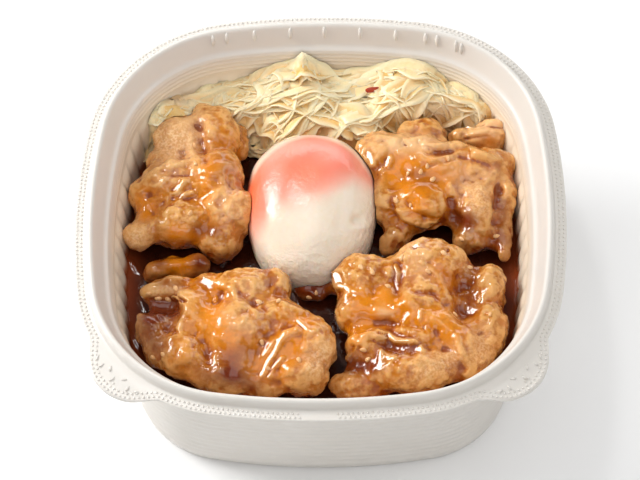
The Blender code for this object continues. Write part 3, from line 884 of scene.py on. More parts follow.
class Effects:
    """The effects that several finishes share, each a node group built once."""

    def __init__(self) -> None:
        """Builds the groups."""
        self.mottle = new_group("mottle", {"Size": 8.0, "Contrast": 1.0}, "Mottle", self.uneven)
        self.grain = new_group("grain", {"Size": 1.0, "Depth": 1.0}, "Height", self.fine)

    @staticmethod
    def uneven(
        nodes: Nodes, place: bpy.types.NodeSocket, size: Value, contrast: Value
    ) -> Value:
        """Uneven tone at two sizes, from 0 to 1."""
        large = nodes.noise(place, size, detail=3.0, warp=0.6)
        small = nodes.noise(place, size * (1 / 3.7), detail=4.0)
        centred = large * 0.6 + small * 0.4 - 0.5
        return (centred * (contrast * 3.2) + 0.5).clamped()

    @staticmethod
    def fine(nodes: Nodes, place: bpy.types.NodeSocket, size: Value, depth: Value) -> Value:
        """Fine relief, a height for a Bump node."""
        return nodes.noise(place, size, detail=4.0, rough=0.6) * depth


class Surface:
    """A new material, its Principled shader and the effects that it draws on."""

    def __init__(self, name: str, effects: Effects) -> None:
        """Makes the material."""
        self.material = bpy.data.materials.new(name)
        self.material.use_nodes = True
        self.nodes = Nodes(self.material.node_tree)
        self.shader = self.material.node_tree.nodes["Principled BSDF"]
        self.effects = effects
        self.where = self.nodes.coordinates()

    def put(self, name: str, value: object) -> None:
        """Feeds one of the shader's inputs."""
        self.nodes.feed(self.shader.inputs[name], value)

    def mottle(self, size: float, contrast: float = 1.0) -> Value:
        """Uneven tone from 0 to 1, with patches of a size in millimetres."""
        return self.nodes.use(
            self.effects.mottle, place=self.where, size=size, contrast=contrast)

    def relief(self, size: float, height: float, depth: "Value | float" = 1.0) -> None:
        """Adds fine relief.

        Args:
            size: The grain's size in millimetres.
            height: How high it stands, in millimetres.
            depth: The share of that height.
        """
        grain = self.nodes.use(self.effects.grain, place=self.where, size=size, depth=depth)
        bump = self.nodes.add("ShaderNodeBump")
        bump.inputs["Distance"].default_value = height * MM
        self.nodes.feed(bump.inputs["Height"], grain)
        self.put("Normal", bump.outputs["Normal"])

    def scatter(self, weight: float, *reach: float) -> None:
        """Lets light in, as far for red, green and blue as given in millimetres."""
        self.put("Subsurface Weight", weight)
        self.put("Subsurface Radius", [distance * MM for distance in reach])


@dataclass(frozen=True)
class Finish:
    """A finish: the groups that it draws on and its name."""

    effects: Effects
    name: str = "plain_finish"

    def build(self) -> bpy.types.Material:
        """The material."""
        surface = Surface(self.name, self.effects)
        self.paint(surface, surface.nodes)
        return surface.material

    def paint(self, surface: Surface, nodes: Nodes) -> None:
        """Feeds the shader: each finish has its own."""
        raise NotImplementedError


@dataclass(frozen=True)
class IvoryPlastic(Finish):
    """Satin ivory plastic, browned by sauce where the wall meets it."""

    name: str = "ivory_plastic_finish"
    ivory: Colour = (0.76, 0.725, 0.675)
    shade: Colour = (0.72, 0.68, 0.625)
    warmth: Colour = (0.85, 0.72, 0.54)
    stain: Colour = (0.42, 0.12, 0.035)

    def paint(self, surface: Surface, nodes: Nodes) -> None:
        """Ivory, warmer down the inner wall and stained at the sauce's level."""
        mottle = surface.mottle(26.0, 0.6)
        colour = nodes.mix(mottle, self.ivory, self.shade)
        inside = nodes.mask("inside")
        axes = nodes.add("ShaderNodeSeparateXYZ")
        nodes.feed(axes.inputs[0], surface.where)
        level = Value(nodes, axes.outputs["Z"]) * (1 / MM)
        colour = nodes.mix(inside * nodes.ramp(level, 57.0, 46.0) * 0.75, colour, self.warmth)
        edge = level - nodes.noise(surface.where, 5.0, 3.0) * 5.0
        wet = nodes.ramp(edge, SAUCE_Z + 4.0, SAUCE_Z - 1.0) * inside
        surface.put("Base Color", nodes.mix(wet, colour, self.stain))
        surface.put("Roughness", mottle * 0.08 + 0.30)
        surface.relief(0.7, 0.012)
        surface.scatter(0.12, 4.0, 3.5, 3.0)


@dataclass(frozen=True)
class BrownSauce(Finish):
    """Dark glossy sauce, redder and clearer where it is shallow beside the wall."""

    name: str = "brown_sauce_finish"
    deep: Colour = (0.030, 0.006, 0.003)
    lighter: Colour = (0.070, 0.014, 0.005)
    shallow: Colour = (0.26, 0.050, 0.014)

    def paint(self, surface: Surface, nodes: Nodes) -> None:
        """Deep brown, and the shallow colour along the wall."""
        mottle = surface.mottle(7.0)
        colour = nodes.mix(mottle, self.deep, self.lighter)
        surface.put("Base Color", nodes.mix(nodes.mask("shallow"), colour, self.shallow))
        surface.put("Roughness", mottle * 0.07 + 0.05)
        surface.relief(4.0, 0.25)


@dataclass(frozen=True)
class GlazedChicken(Finish):
    """Fried batter under a sticky glaze that gathers in the hollows, with painted shade in the creases
    and near the sauce.
    """

    name: str = "glazed_chicken_finish"
    batter: Colour = (0.50, 0.180, 0.027)
    crown: Colour = (0.73, 0.375, 0.115)
    amber: Colour = (0.54, 0.165, 0.003)
    russet: Colour = (0.30, 0.052, 0.003)
    # Sauce soaking in and painted contact shade, low on the piece
    soaked_and_shaded: Colour = (0.30, 0.050, 0.004)
    streak: Colour = (0.70, 0.215, 0.003)
    pale: Colour = (0.90, 0.55, 0.27)
    crumb: Colour = (0.76, 0.40, 0.16)
    dry: Colour = (0.98, 0.66, 0.38)
    # Sauce pooled in deep creases, and painted shade there
    crease_pool_and_shade: Colour = (0.24, 0.042, 0.004)
    brown: Colour = (0.19, 0.028, 0.004)

    def paint(self, surface: Surface, nodes: Nodes) -> None:
        """Batter, then glaze, burnt spots and the foot, darker from soaking and painted contact shade,
        then what the marks say, with painted shade in the creases.
        """
        broad, close = surface.mottle(12.0, 1.5), surface.mottle(4.5, 1.4)
        hollow, dry, wet = nodes.mask("hollow"), nodes.mask("dry"), nodes.mask("wet")
        sunk = hollow * 0.45 + nodes.mask("basin") * 0.5
        film = nodes.ramp(broad * 0.8 + close * 0.25 + sunk, 0.30, 0.90)
        burnt = nodes.noise(surface.where, 6.5, 3.0, 0.8) + sunk * 0.2
        speck = nodes.ramp(nodes.noise(surface.where, 0.8, 3.0), 0.40, 0.62)
        colour = nodes.mix(nodes.ramp(close * 0.8 - sunk, 0.15, 0.95), self.batter, self.crown)
        for share, layer in (
            (film * 0.9, self.amber),
            (nodes.ramp(burnt, 0.50, 0.68) * 0.75, self.russet),
            # Darker low on the piece: sauce soaking in, and painted contact shade
            (nodes.mask("soak_and_contact_shade") * (close + 0.5).clamped(), self.soaked_and_shaded),
            (nodes.mask("amber") * (close + 0.45).clamped(), self.streak),
            (nodes.mask("pale") * 0.8, self.pale),
            (dry * 0.85, nodes.mix(speck, self.crumb, self.dry)),
            # Sauce pooled in deep creases, and painted shade there
            (nodes.ramp(hollow, 0.40, 1.15) * 0.85, self.crease_pool_and_shade),
            # Dark sauce pools from the marks, and painted contact shade at the foot
            (nodes.mask("dark"), self.brown),
        ):
            colour = nodes.mix(share, colour, layer)
        surface.put("Base Color", colour)
        surface.put("Roughness", dry * 0.32 + 0.20 + close * 0.10)
        surface.put("Specular IOR Level", 0.15)
        surface.put("Coat Weight", (wet + film * 0.4 + 0.6 - dry).clamped())
        surface.put("Coat Roughness", 0.04)
        surface.relief(1.3, 0.34, (dry * 0.95 + 0.16 - wet * 0.14).clamped())
        surface.scatter(0.15, 3.0, 1.2, 0.5)


@dataclass(frozen=True)
class BoiledEgg(Finish):
    """Soft boiled egg white, with the yolk's colour seen through its thin upper side."""

    name: str = "egg_white_finish"
    white: Colour = (0.86, 0.75, 0.62)
    cream: Colour = (0.82, 0.69, 0.54)
    pink: Colour = (0.93, 0.26, 0.185)
    orange: Colour = (0.86, 0.17, 0.06)
    rim: Colour = (0.90, 0.74, 0.58)

    def paint(self, surface: Surface, nodes: Nodes) -> None:
        """The white, then the yolk's pink, its orange blush and the pale rim."""
        rough = nodes.mask("rough")
        colour = nodes.mix(surface.mottle(6.0, 0.7), self.white, self.cream)
        for name, layer in (("yolk", self.pink), ("blush", self.orange), ("rim", self.rim)):
            colour = nodes.mix(nodes.mask(name), colour, layer)
        surface.put("Base Color", colour)
        surface.put("Roughness", rough * 0.08 + 0.16)
        surface.relief(1.6, 0.60, rough + 0.22)
        surface.scatter(0.35, 5.0, 2.5, 1.5)


@dataclass(frozen=True)
class CookedCabbage(Finish):
    """Limp pale cabbage, some strips yellower, stained brown where sauce reached it, with painted shade
    deep in the heap.
    """

    name: str = "pale_cabbage_finish"
    pale: Colour = (0.97, 0.80, 0.50)
    yellow: Colour = (0.84, 0.54, 0.18)
    edge: Colour = (0.97, 0.86, 0.61)
    # Painted shade deep in the heap
    depth_shade: Colour = (0.86, 0.62, 0.27)
    stain: Colour = (0.46, 0.20, 0.05)

    def paint(self, surface: Surface, nodes: Nodes) -> None:
        """Pale to yellow by strip, yellower low in the heap as painted shade, then the cut edges,
        painted shade in the depths and the stains.
        """
        mottle = surface.mottle(5.0)
        # Yellower for lower strips and the core: partly painted shade
        tone = (nodes.mask("tone") + mottle * 0.35).clamped()
        colour = nodes.mix(tone, self.pale, self.yellow)
        for name, layer in (
            # The depth mask is painted shade deep in the heap
            ("edge", self.edge), ("depth_shade", self.depth_shade), ("stain", self.stain),
        ):
            colour = nodes.mix(nodes.mask(name), colour, layer)
        surface.put("Base Color", colour)
        surface.put("Roughness", mottle * 0.18 + 0.22)
        surface.relief(0.9, 0.12)
        surface.scatter(0.7, 1.4, 1.4, 1.2)


@dataclass(frozen=True)
class Scrap(Finish):
    """A small thing of two tones: a toasted sesame seed, or a scrap of chilli skin."""

    one: Colour = (0.86, 0.54, 0.27)
    two: Colour = (0.74, 0.38, 0.14)
    patch: float = 2.0
    rough: float = 0.25

    def paint(self, surface: Surface, nodes: Nodes) -> None:
        """The two tones, under a little grain."""
        surface.put("Base Color", nodes.mix(surface.mottle(self.patch), self.one, self.two))
        surface.put("Roughness", self.rough)
        surface.relief(0.5, 0.05)


# Pieces


def hand_over(
    piece: bpy.types.Object, material: bpy.types.Material, slot: str | None, *nodes: str
) -> bpy.types.Object:
    """Drops a finished piece's doubled faces, dresses it and gives it to the frame.

    Args:
        piece: The piece, in its place.
        material: Its finish.
        slot: Not used.
        nodes: The CAD nodes that it stands for.

    Returns:
        The piece.
    """
    piece.data.validate()
    piece.data.materials.clear()
    piece.data.materials.append(material)
    piece.data.shade_smooth()
    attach(piece, BODY)
    if nodes:
        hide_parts(*nodes)
    log.info("%s: %d faces", piece.name, len(piece.data.polygons))
    return piece


@dataclass
class Bowl:
    """The moulded bowl: shell with ribs and flutes, knurled flange and lid lock bumps."""

    effects: Effects
    around: int = 640
    flutes: int = 64
    flute_depth: float = 1.0
    rib_pitch: float = 2.9
    rib_depth: float = 0.5
    band_pitch: float = 1.68
    band_depth: float = 0.3
    tab_half: float = 74.4
    tab_corner: float = 16.4
    tab_length: float = 6.5
    tab_droop: float = 1.4
    foot: tuple[Station, ...] = stations(
        (63.8, 29.5, 0.0, 10.6), (65.6, 31.0, 0.35, 10.6), (66.6, 32.0, 1.3, 10.6))
    wall: tuple[Station, ...] = stations(
        (67.3, 32.5, 5.0, 10.6), (69.0, 37.0, 29.0, 9.6), (72.8, 44.6, 54.0))
    shoulder: tuple[Station, ...] = stations(
        (73.6, 45.5, 57.2), (74.6, 46.5, 58.6), (77.0, 48.9, 59.1))
    # How far out over a tab the flange's flat sides have a row of points
    tab_shares: tuple[float, ...] = (0.0, 0.12, 0.3, 0.5, 0.7, 0.85)
    # The flange's edge: height and inset
    edge: Rows = ((59.1, 0.5), (59.25, 0.12), (59.55, 0.0), (59.85, 0.12), (60.0, 0.45))
    rim: tuple[Station, ...] = stations(
        (78.9, 50.8, 60.0), (78.55, 50.45, 60.25), (78.4, 50.3, 61.0), (78.2, 50.1, 62.0),
        (77.85, 49.75, 62.9), (77.35, 49.2, 63.4), (76.85, 48.7, 63.55), (76.35, 48.2, 63.4),
        (75.9, 47.8, 62.9), (75.5, 47.4, 62.1), (74.9, 46.8, 60.6), (74.3, 46.2, 59.2),
        (73.7, 45.6, 57.8), (73.3, 45.2, 56.6), (72.8, 44.7, 55.6), (72.2, 44.1, 54.9))
    fluted: tuple[float, ...] = (
        46.0, 45.0, 43.8, 42.0, 38.0, 34.0, 30.0, 24.0, 16.0, 9.0, 5.0, 1.2)
    # The knurl: a dot's radii, its pitch, and each row's distance from the flange's edge
    dot_radii: tuple[float, ...] = (0.50, 0.50, 0.36)
    knurl_pitch: float = 1.6
    knurl_rows: tuple[float, ...] = (1.05, 2.45, 3.85)
    # The innermost row is on the tabs alone, which are this far from the axis
    tab_reach_from: float = 94.5
    # The front's middle is plain: its half width and where the front begins
    plain_half: float = 5.6
    plain_y: float = -60.0
    # Raised bars on each tab: along the tab, out from the flange's corner, turn in degrees
    grips: Rows = (
        (-6.6, 4.6, 20.0), (-4.4, 5.6, -50.0), (-2.2, 4.4, 10.0), (0.0, 6.4, -40.0),
        (2.2, 4.6, -80.0), (4.4, 5.6, -30.0), (6.6, 4.6, -70.0))
    grip_radii: tuple[float, ...] = (1.3, 0.5, 0.5)
    grip_corner: float = 61.6
    # The lid's bumps on the back of the lip: where they are, their radii and their lean
    bumps: tuple[float, ...] = (
        -38.4, -33.2, -23.9, -11.3, 1.0, 13.6, 25.9, 36.6, 40.2, 46.6, 48.9)
    bump_radii: tuple[float, ...] = (0.75, 0.75, 2.3)
    bump_lean: float = math.atan2(5.0, 2.0) - math.pi / 2
    bump_line: Station = Station(74.95, 46.85, 60.7)

    @staticmethod
    def levels(given: tuple[Station, ...], heights: np.ndarray) -> list[Station]:
        """Stations between the given ones, at each height."""
        z = [station.z for station in given]
        made = []
        for height in heights:
            half, corner, bow = (
                float(np.interp(height, z, [getattr(station, what) for station in given]))
                for what in ("half", "corner", "bow"))
            made.append(Station(half, corner, float(height), bow))
        return made

    def tab_reach(self, points: np.ndarray) -> np.ndarray:
        """How far each point of the flange's edge is carried out by a front corner's tab."""
        length = np.linalg.norm(points, axis=1)
        along = np.abs(points) / length[:, None]
        high, low = along.max(axis=1), along.min(axis=1)
        centre = self.tab_half - self.tab_corner
        reach = self.tab_half / high
        middle = (along[:, 0] + along[:, 1]) * centre
        aside = np.sqrt(np.maximum(2 * centre**2 - middle**2, 0.0))
        rounded = middle + np.sqrt(np.maximum(self.tab_corner**2 - aside**2, 0.0))
        reach = np.where(reach * low > centre, rounded, reach)
        reach = np.maximum(reach - length, 0.0)
        return np.where((points[:, 1] > 0) | (low < high / 2), 0.0, reach)

    def ring(self, station: Station, tab: float = 0.0, inset: float = 0.0) -> np.ndarray:
        """One ring of points at a station, carried out over a share of the tabs' reach."""
        points = outline(station, self.around, inset)
        reach = self.tab_reach(points) * tab
        share = np.minimum(1.0, reach / self.tab_length)
        z = station.z - self.tab_droop * share * share * (3 - 2 * share)
        return np.column_stack((points + unit_rows(points) * reach[:, None], z))

    def edge_ring(self, z: float, tab: float, inset: float) -> np.ndarray:
        """A ring of the flange, whose outline is the bowl's largest."""
        return self.ring(Station(FLANGE_HALF, FLANGE_CORNER, z), tab, inset)

    def waved_rings(
        self, levels: list[Station], span: tuple[float, ...], start: float, pitch: float,
        depth: float
    ) -> list[np.ndarray]:
        """Rings of a stretch of wall with ribs round it.

        Args:
            levels: The rings' stations.
            span: Four heights: between the outer ones there are ribs, at full depth between
                the inner ones.
            start: A height at which there is no rib.
            pitch: The ribs' distance.
            depth: How deep they are.

        Returns:
            The rings.
        """
        rings = []
        for level in levels:
            fade = np.interp(level.z, span, (0.0, 1.0, 1.0, 0.0))
            wave = 0.5 - 0.5 * math.cos(math.tau * (level.z - start) / pitch)
            rings.append(self.ring(level, inset=depth * fade * wave))
        return rings

    def fluted_ring(self, station: Station) -> np.ndarray:
        """A ring of the inner wall, bulging inwards between narrow valleys."""
        ring = self.ring(station)
        fade = np.interp(station.z, (5.0, 9.0, 43.0, 46.0), (0.0, 1.0, 1.0, 0.0))
        turn = np.arange(self.around) / self.around * self.flutes * math.pi
        lobe = np.sqrt(np.abs(np.sin(turn)))
        ring[:, :2] -= unit_rows(ring[:, :2]) * (self.flute_depth * fade * lobe)[:, None]
        return ring

    def shell(self) -> bpy.types.Object:
        """The bowl's shell, from the foot up, over the rim and down to the floor."""
        outer = self.levels(self.wall, np.arange(5.0, 53.6, 0.725))
        inner = self.levels(WALL, np.arange(54.5, 46.4, -0.42))
        low = self.levels(WALL, np.array(self.fluted))
        rings = [self.ring(station) for station in self.foot]
        rings += self.waved_rings(
            outer, (5.0, 7.0, 51.0, 53.0), 5.0, self.rib_pitch, self.rib_depth)
        rings += [self.ring(station) for station in (self.wall[-1], *self.shoulder)]
        rings += [self.edge_ring(self.edge[0][0], share, 0.9) for share in self.tab_shares]
        rings += [self.edge_ring(z, 1.0, inset) for z, inset in self.edge]
        rings += [self.edge_ring(FLANGE_Z, share, 1.2) for share in reversed(self.tab_shares)]
        rings += [self.ring(station) for station in self.rim]
        rings += self.waved_rings(
            inner, (46.6, 47.6, 53.2, 54.2), 54.2, self.band_pitch, self.band_depth)
        rings += [self.fluted_ring(station) for station in low]
        return ring_mesh("bowl_shell", rings, len(inner) + len(low))

    def knurl(self, tree: BVHTree) -> bpy.types.Object:
        """Rows of small raised dots on the flange and the tabs, and the tabs' short bars.

        Args:
            tree: The shell, on which they stand.

        Returns:
            The piece.
        """
        dot, unit = ball(1)
        edge = self.edge_ring(FLANGE_Z, 1.0, 0.0)
        along = np.roll(edge[:, :2], -1, axis=0) - np.roll(edge[:, :2], 1, axis=0)
        inwards = unit_rows(np.column_stack((-along[:, 1], along[:, 0], np.zeros(len(edge)))))
        inwards *= -np.sign((inwards * edge).sum())
        places = []
        for row, inset in enumerate(self.knurl_rows):
            ring = edge + inwards * inset
            ring = np.vstack((ring, ring[:1]))
            start = 0.7 * (row % 2)
            dots = places_along(ring, np.arange(start, walked(ring)[-1], self.knurl_pitch))
            shown = (dots[:, 1] > self.plain_y) | (np.abs(dots[:, 0]) > self.plain_half)
            if inset == self.knurl_rows[-1]:
                shown &= np.linalg.norm(dots[:, :2], axis=1) > self.tab_reach_from
            dots[:, 2] = [self.stand(tree, place[:2]) for place in dots]
            places += [unit * np.array(self.dot_radii) + place for place in dots[shown]]
        for side in (-1, 1):
            for aside, out, degrees in self.grips:
                spot = np.array((side * (self.grip_corner + aside), -self.grip_corner + aside))
                spot += out * np.array((side * 0.707, -0.707))
                turn = math.radians(degrees) if side > 0 else math.pi - math.radians(degrees)
                spin = np.array(Matrix.Rotation(turn, 3, "Z"))
                bar = unit * np.array(self.grip_radii) @ spin.T
                places.append(bar + np.array((*spot, self.stand(tree, spot))))
        return copies_mesh("flange_knurl", dot, places)

    @staticmethod
    def stand(tree: BVHTree, spot: np.ndarray) -> float:
        """The height of the shell's upper side at a place in plan."""
        hit = tree.ray_cast(Vector((*spot, SKY_Z)), DOWN)[0]
        return FLANGE_Z if hit is None else hit.z

    def lock_bumps(self) -> bpy.types.Object:
        """Short upright bars on the back of the lip's inner side, which hold a lid."""
        bar, unit = ball(2)
        line = outline(self.bump_line, FINE_OUTLINE)
        back = line[line[:, 1] > 40]
        tilt = np.array(Matrix.Rotation(self.bump_lean, 3, "X"))
        leaning = unit * np.array(self.bump_radii) @ tilt.T
        places = []
        for x in self.bumps:
            spot = back[np.argmin(np.abs(back[:, 0] - x))]
            places.append(leaning + np.array((spot[0], spot[1] - 0.1, self.bump_line.z)))
        return copies_mesh("lid_lock_bumps", bar, places)

    def build(self) -> None:
        """Makes and dresses the bowl's pieces."""
        plastic = IvoryPlastic(self.effects).build()
        shell = self.shell()
        knurl = self.knurl(tree_of(shell))
        hand_over(shell, plastic, "ivory_plastic", "bowl")
        hand_over(knurl, plastic, "ivory_plastic")
        hand_over(self.lock_bumps(), plastic, "ivory_plastic")


@dataclass
class Egg:
    """The boiled egg, lying in the sauce with its broad end towards the back."""

    effects: Effects
    centre: Colour = (-3.7, 14.4, 36.0)
    radii: Colour = (22.2, 28.0, 20.5)
    power: float = 2.25
    taper: float = 0.07
    front_stretch: float = 1.06
    # The egg as it is seen: its middle and half sizes on the reading plane. The rows below
    # are in shares of those half sizes
    seen_middle: tuple[float, float] = (-3.6, 8.8)
    seen_half: tuple[float, float] = (22.0, 31.0)
    # The lower end of the yolk's colour: across and up
    border: Rows = (
        (-1.0, -0.60), (-0.78, -0.40), (-0.60, 0.05), (-0.08, 0.18), (0.30, 0.32),
        (0.64, 0.42), (0.90, 0.34), (1.0, 0.28))
    # Orange patches: middle across and up, reaches, strength
    blush: Rows = (
        (-0.12, 0.52, 0.38, 0.20, 0.55), (-0.93, 0.26, 0.20, 0.44, 0.9),
        (0.60, 0.58, 0.16, 0.14, 0.35))
    # A dent in the white and the fold above it, on the reading plane
    dent: Rows = ((12.4, 5.4),)
    fold: Rows = ((12.0, 1.8), (14.5, 3.4))

    def shape(self) -> bpy.types.Object:
        """The egg's body, a little square, with its broad end at the back."""
        deselect()
        bpy.ops.mesh.primitive_uv_sphere_add(segments=144, ring_count=96, radius=1.0)
        egg = bpy.context.object
        egg.name = "boiled_egg"
        unit = points_of(egg) * MM
        spread = (np.abs(unit) ** self.power).sum(axis=1) ** (1 / self.power)
        unit /= spread[:, None]
        unit[:, ::2] *= (1 + self.taper * unit[:, 1])[:, None]
        unit[:, 1] *= np.where(unit[:, 1] < 0, self.front_stretch, 1.0)
        set_points(egg, np.array(self.centre) + unit * np.array(self.radii))
        return egg

    def dress(self, egg: bpy.types.Object) -> None:
        """Adds the dents and the roughness, and keeps where the yolk shows."""
        points, normals = points_of(egg), normals_of(egg)
        seen = read_plane(points)
        across, up = ((seen - np.array(self.seen_middle)) / np.array(self.seen_half)).T
        soft = np.array([noise.noise(Vector(p) * 0.12) for p in points])
        fine = np.array([noise.noise(Vector(p) * 0.75) for p in points])
        border = np.interp(across, *zip(*self.border)) + 0.10 * soft
        yolk = share_of(up, border - 0.20, 0.40)
        yolk = yolk * yolk * (3 - 2 * yolk)
        white_side = share_of(-across, 0.55, 0.2) * share_of(-up, -0.1, 0.6)
        save_mask(egg, "yolk", yolk * (1 - 0.85 * white_side) * (0.85 + 0.25 * soft))
        save_mask(egg, "blush", np.clip(patches(across, up, self.blush), 0, 1))
        rim = share_of(np.hypot(across, up), 0.99, 0.05) * share_of(up, 0.35, 0.2)
        save_mask(egg, "rim", rim * 0.85)
        low = share_of(0.25 * across - up, 0.30, 0.3)
        flank = share_of(across, 0.70, 0.15) * share_of(-up, -0.30, 0.3)
        rough = np.clip(low + flank, 0, 1)
        save_mask(egg, "rough", rough)
        dimple = bell(distance_to_path(seen, self.dent), 1.9)
        dimple -= 0.45 * bell(distance_to_path(seen, self.fold), 1.5)
        move = 0.4 - 1.6 * dimple + (0.05 + 0.32 * rough) * fine + 0.4 * soft
        set_points(egg, points + normals * move[:, None])

    def build(self) -> bpy.types.Object:
        """Makes and dresses the egg."""
        egg = self.shape()
        self.dress(egg)
        slice_bottom(egg, CUT_Z)
        return hand_over(egg, BoiledEgg(self.effects).build(), "egg_white", "egg")


def fuse(body: bpy.types.Object, voxel: float, rounds: int) -> None:
    """Adds the modifiers that fuse what overlaps and smooth it so many rounds."""
    remesh = body.modifiers.new("Fuse", "REMESH")
    remesh.mode = "VOXEL"
    remesh.voxel_size = voxel * MM
    soften = body.modifiers.new("Soften", "SMOOTH")
    soften.factor = 0.5
    soften.iterations = rounds


def swell(body: bpy.types.Object, distance: float) -> None:
    """Adds the modifier that moves the whole surface outwards."""
    push = body.modifiers.new("Swell", "DISPLACE")
    push.mid_level = 0.0
    push.strength = distance * MM


def craggy_body(name: str, given: tuple[Lump, ...], voxel: float = 0.44) -> bpy.types.Object:
    """Lumps fused into one body, with webs between them, crags, blisters and crumbs.

    Args:
        name: The body's name.
        given: The lumps.
        voxel: How fine the body's mesh is, in millimetres.

    Returns:
        The body.
    """
    web, brow, brow_drop = 2.4, 46.0, 0.3
    balls = []
    for lump in given:
        deselect()
        bpy.ops.mesh.primitive_ico_sphere_add(
            subdivisions=4, radius=MM, location=Vector((lump.x, lump.y, lump.z)) * MM,
            rotation=(0.0, 0.0, math.radians(lump.turn)), scale=(lump.rx, lump.ry, lump.rz))
        balls.append(bpy.context.object)
    body = balls[0]
    activate(body)
    for other in balls:
        other.select_set(True)
    bpy.ops.object.join()
    body.name = name
    body.data.name = name
    activate(body)
    bpy.ops.object.transform_apply(location=True, rotation=True, scale=True)
    fuse(body, 0.6, 34)
    swell(body, web)
    fuse(body, 0.65, 5)
    swell(body, -web)
    fuse(body, voxel, 6)
    apply_modifiers(body)
    points = points_of(body)
    points[:, 2] -= brow_drop * np.maximum(points[:, 2] - brow, 0.0)
    set_points(body, points)
    for label, kind, size, depth, middle in (
        ("crag", "CLOUDS", 7.0, 2.2, 0.5),
        ("blister", "VORONOI", 5.2, -0.9, 0.35),
        ("crumb", "CLOUDS", 2.4, 0.55, 0.5),
    ):
        texture = bpy.data.textures.new(f"{name}_{label}", kind)
        texture.noise_scale = size * MM
        push = body.modifiers.new(label, "DISPLACE")
        push.texture = texture
        push.texture_coords = "LOCAL"
        push.strength = depth * MM
        push.mid_level = middle
    apply_modifiers(body)
    return body


@dataclass
class Chicken:
    """One piece of chicken: lumps fused, cragged, marked with folds and glaze."""

    part: str
    lumps: tuple[Lump, ...]
    marks: dict[Look, tuple[Mark, ...]]

    def marked(self, points: np.ndarray, *looks: Look) -> np.ndarray:
        """The sum of the given kinds of mark at each point."""
        seen = read_plane(points)
        total = np.zeros(len(points))
        for look in looks:
            for mark in self.marks.get(look, ()):
                total += mark.strength * bell(distance_to_path(seen, mark.path), mark.reach)
        return total

    def carve(self, body: bpy.types.Object) -> None:
        """Raises the ridges, cuts the folds and smooths the glaze."""
        points, normals = points_of(body), normals_of(body)
        facing = np.clip(normals[:, 2] * 2 + 0.6, 0, 1)
        points += normals * (self.marked(points, Look.RIDGE) * facing)[:, None]
        pooled = self.marked(points, Look.DARK, Look.AMBER)
        share = np.clip(pooled * 0.7, 0.0, 0.95)[:, None]
        points = points * (1 - share) + relaxed(body, points, 22) * share
        for mark in self.marks[Look.GLINT]:
            lay_glint(points, normals[:, 2] > 0.1, mark, KEY)
        set_points(body, points)

    def colour_masks(self, body: bpy.types.Object) -> None:
        """Keeps what the finish needs to know: hollows, glaze, dry batter, stains and painted contact
        shade near the sauce.
        """
        points, normals = points_of(body), normals_of(body)
        for name, rounds, depth in (("hollow", 24, 0.30), ("basin", 190, 1.6)):
            sunk = ((relaxed(body, points, rounds) - points) * normals).sum(axis=1)
            save_mask(body, name, np.clip(sunk / depth, -1.5, 1.5))
        for look in (Look.AMBER, Look.PALE, Look.DRY):
            save_mask(body, look.value, np.clip(self.marked(points, look), 0, 1))
        height = points[:, 2] - SAUCE_Z
        # Darker near the sauce: sauce soaking in, and painted contact shade where the piece meets the
        # sauce
        save_mask(body, "soak_and_contact_shade", share_of(14.0 - height, 0.0, 13.0) ** 1.3)
        foot = share_of(8.0 - height, 0.0, 8.0) ** 1.5
        # Dark sauce pools from the marks, and painted contact shade at the foot
        dark = np.maximum(self.marked(points, Look.DARK), foot * 0.85)
        save_mask(body, "dark", np.clip(dark, 0, 1))
        seen = read_plane(points)
        wet = 0.8 * self.marked(points, Look.AMBER, Look.DARK)
        for mark in self.marks[Look.GLINT]:
            wet += bell(distance_to_path(seen, mark.path), 1.3 * mark.reach)
        save_mask(body, "wet", np.clip(wet, 0, 1))

    def build(self, finish: bpy.types.Material, neighbours: list[BVHTree]) -> bpy.types.Object:
        """Makes and dresses the piece.

        Args:
            finish: The chicken's material.
            neighbours: What the piece has to stay clear of.

        Returns:
            The piece.
        """
        body = craggy_body(f"fried_{self.part}", self.lumps)
        self.carve(body)
        fitted(body, neighbours)
        slice_bottom(body, CUT_Z)
        self.colour_masks(body)
        return hand_over(body, finish, "glazed_chicken", f"chicken_{self.part}")


@dataclass
class Seeds:
    """Sesame seeds that lie on the glaze."""

    effects: Effects
    length: float = 3.0
    width: float = 1.9
    thick: float = 1.3
    rise: float = 0.12
    scales: tuple[float, float] = (0.62, 0.92)
    draw: int = 3

    def build(self, trees: list[BVHTree]) -> bpy.types.Object:
        """Lays each seed where the line of sight through its mark meets the chicken.

        Args:
            trees: The pieces that seeds can lie on.

        Returns:
            The piece that holds them all.
        """
        seed, unit = ball(2)
        unit *= 0.5
        unit[:, 1] *= 1 - 0.55 * unit[:, 0]
        rng = random.Random(self.draw)
        places = []
        for x, y in SEEDS:
            hits = [tree.ray_cast(Vector(EYE), sight(x, y)) for tree in trees]
            hits = [hit for hit in hits if hit[0] is not None]
            size = np.array((self.length, self.width, self.thick)) * rng.uniform(*self.scales)
            angle = rng.uniform(0, math.tau)
            if not hits:
                continue
            spot, normal, _, _ = min(hits, key=lambda hit: hit[3])
            stand = normal.to_track_quat("Z", "Y").to_matrix() @ Matrix.Rotation(angle, 3, "Z")
            middle = np.array(spot + normal * self.thick * self.rise)
            places.append((unit * size) @ np.array(stand).T + middle)
        seeds = copies_mesh("sesame_seeds", seed, places)
        return hand_over(seeds, Scrap(self.effects, "sesame_finish").build(), None)


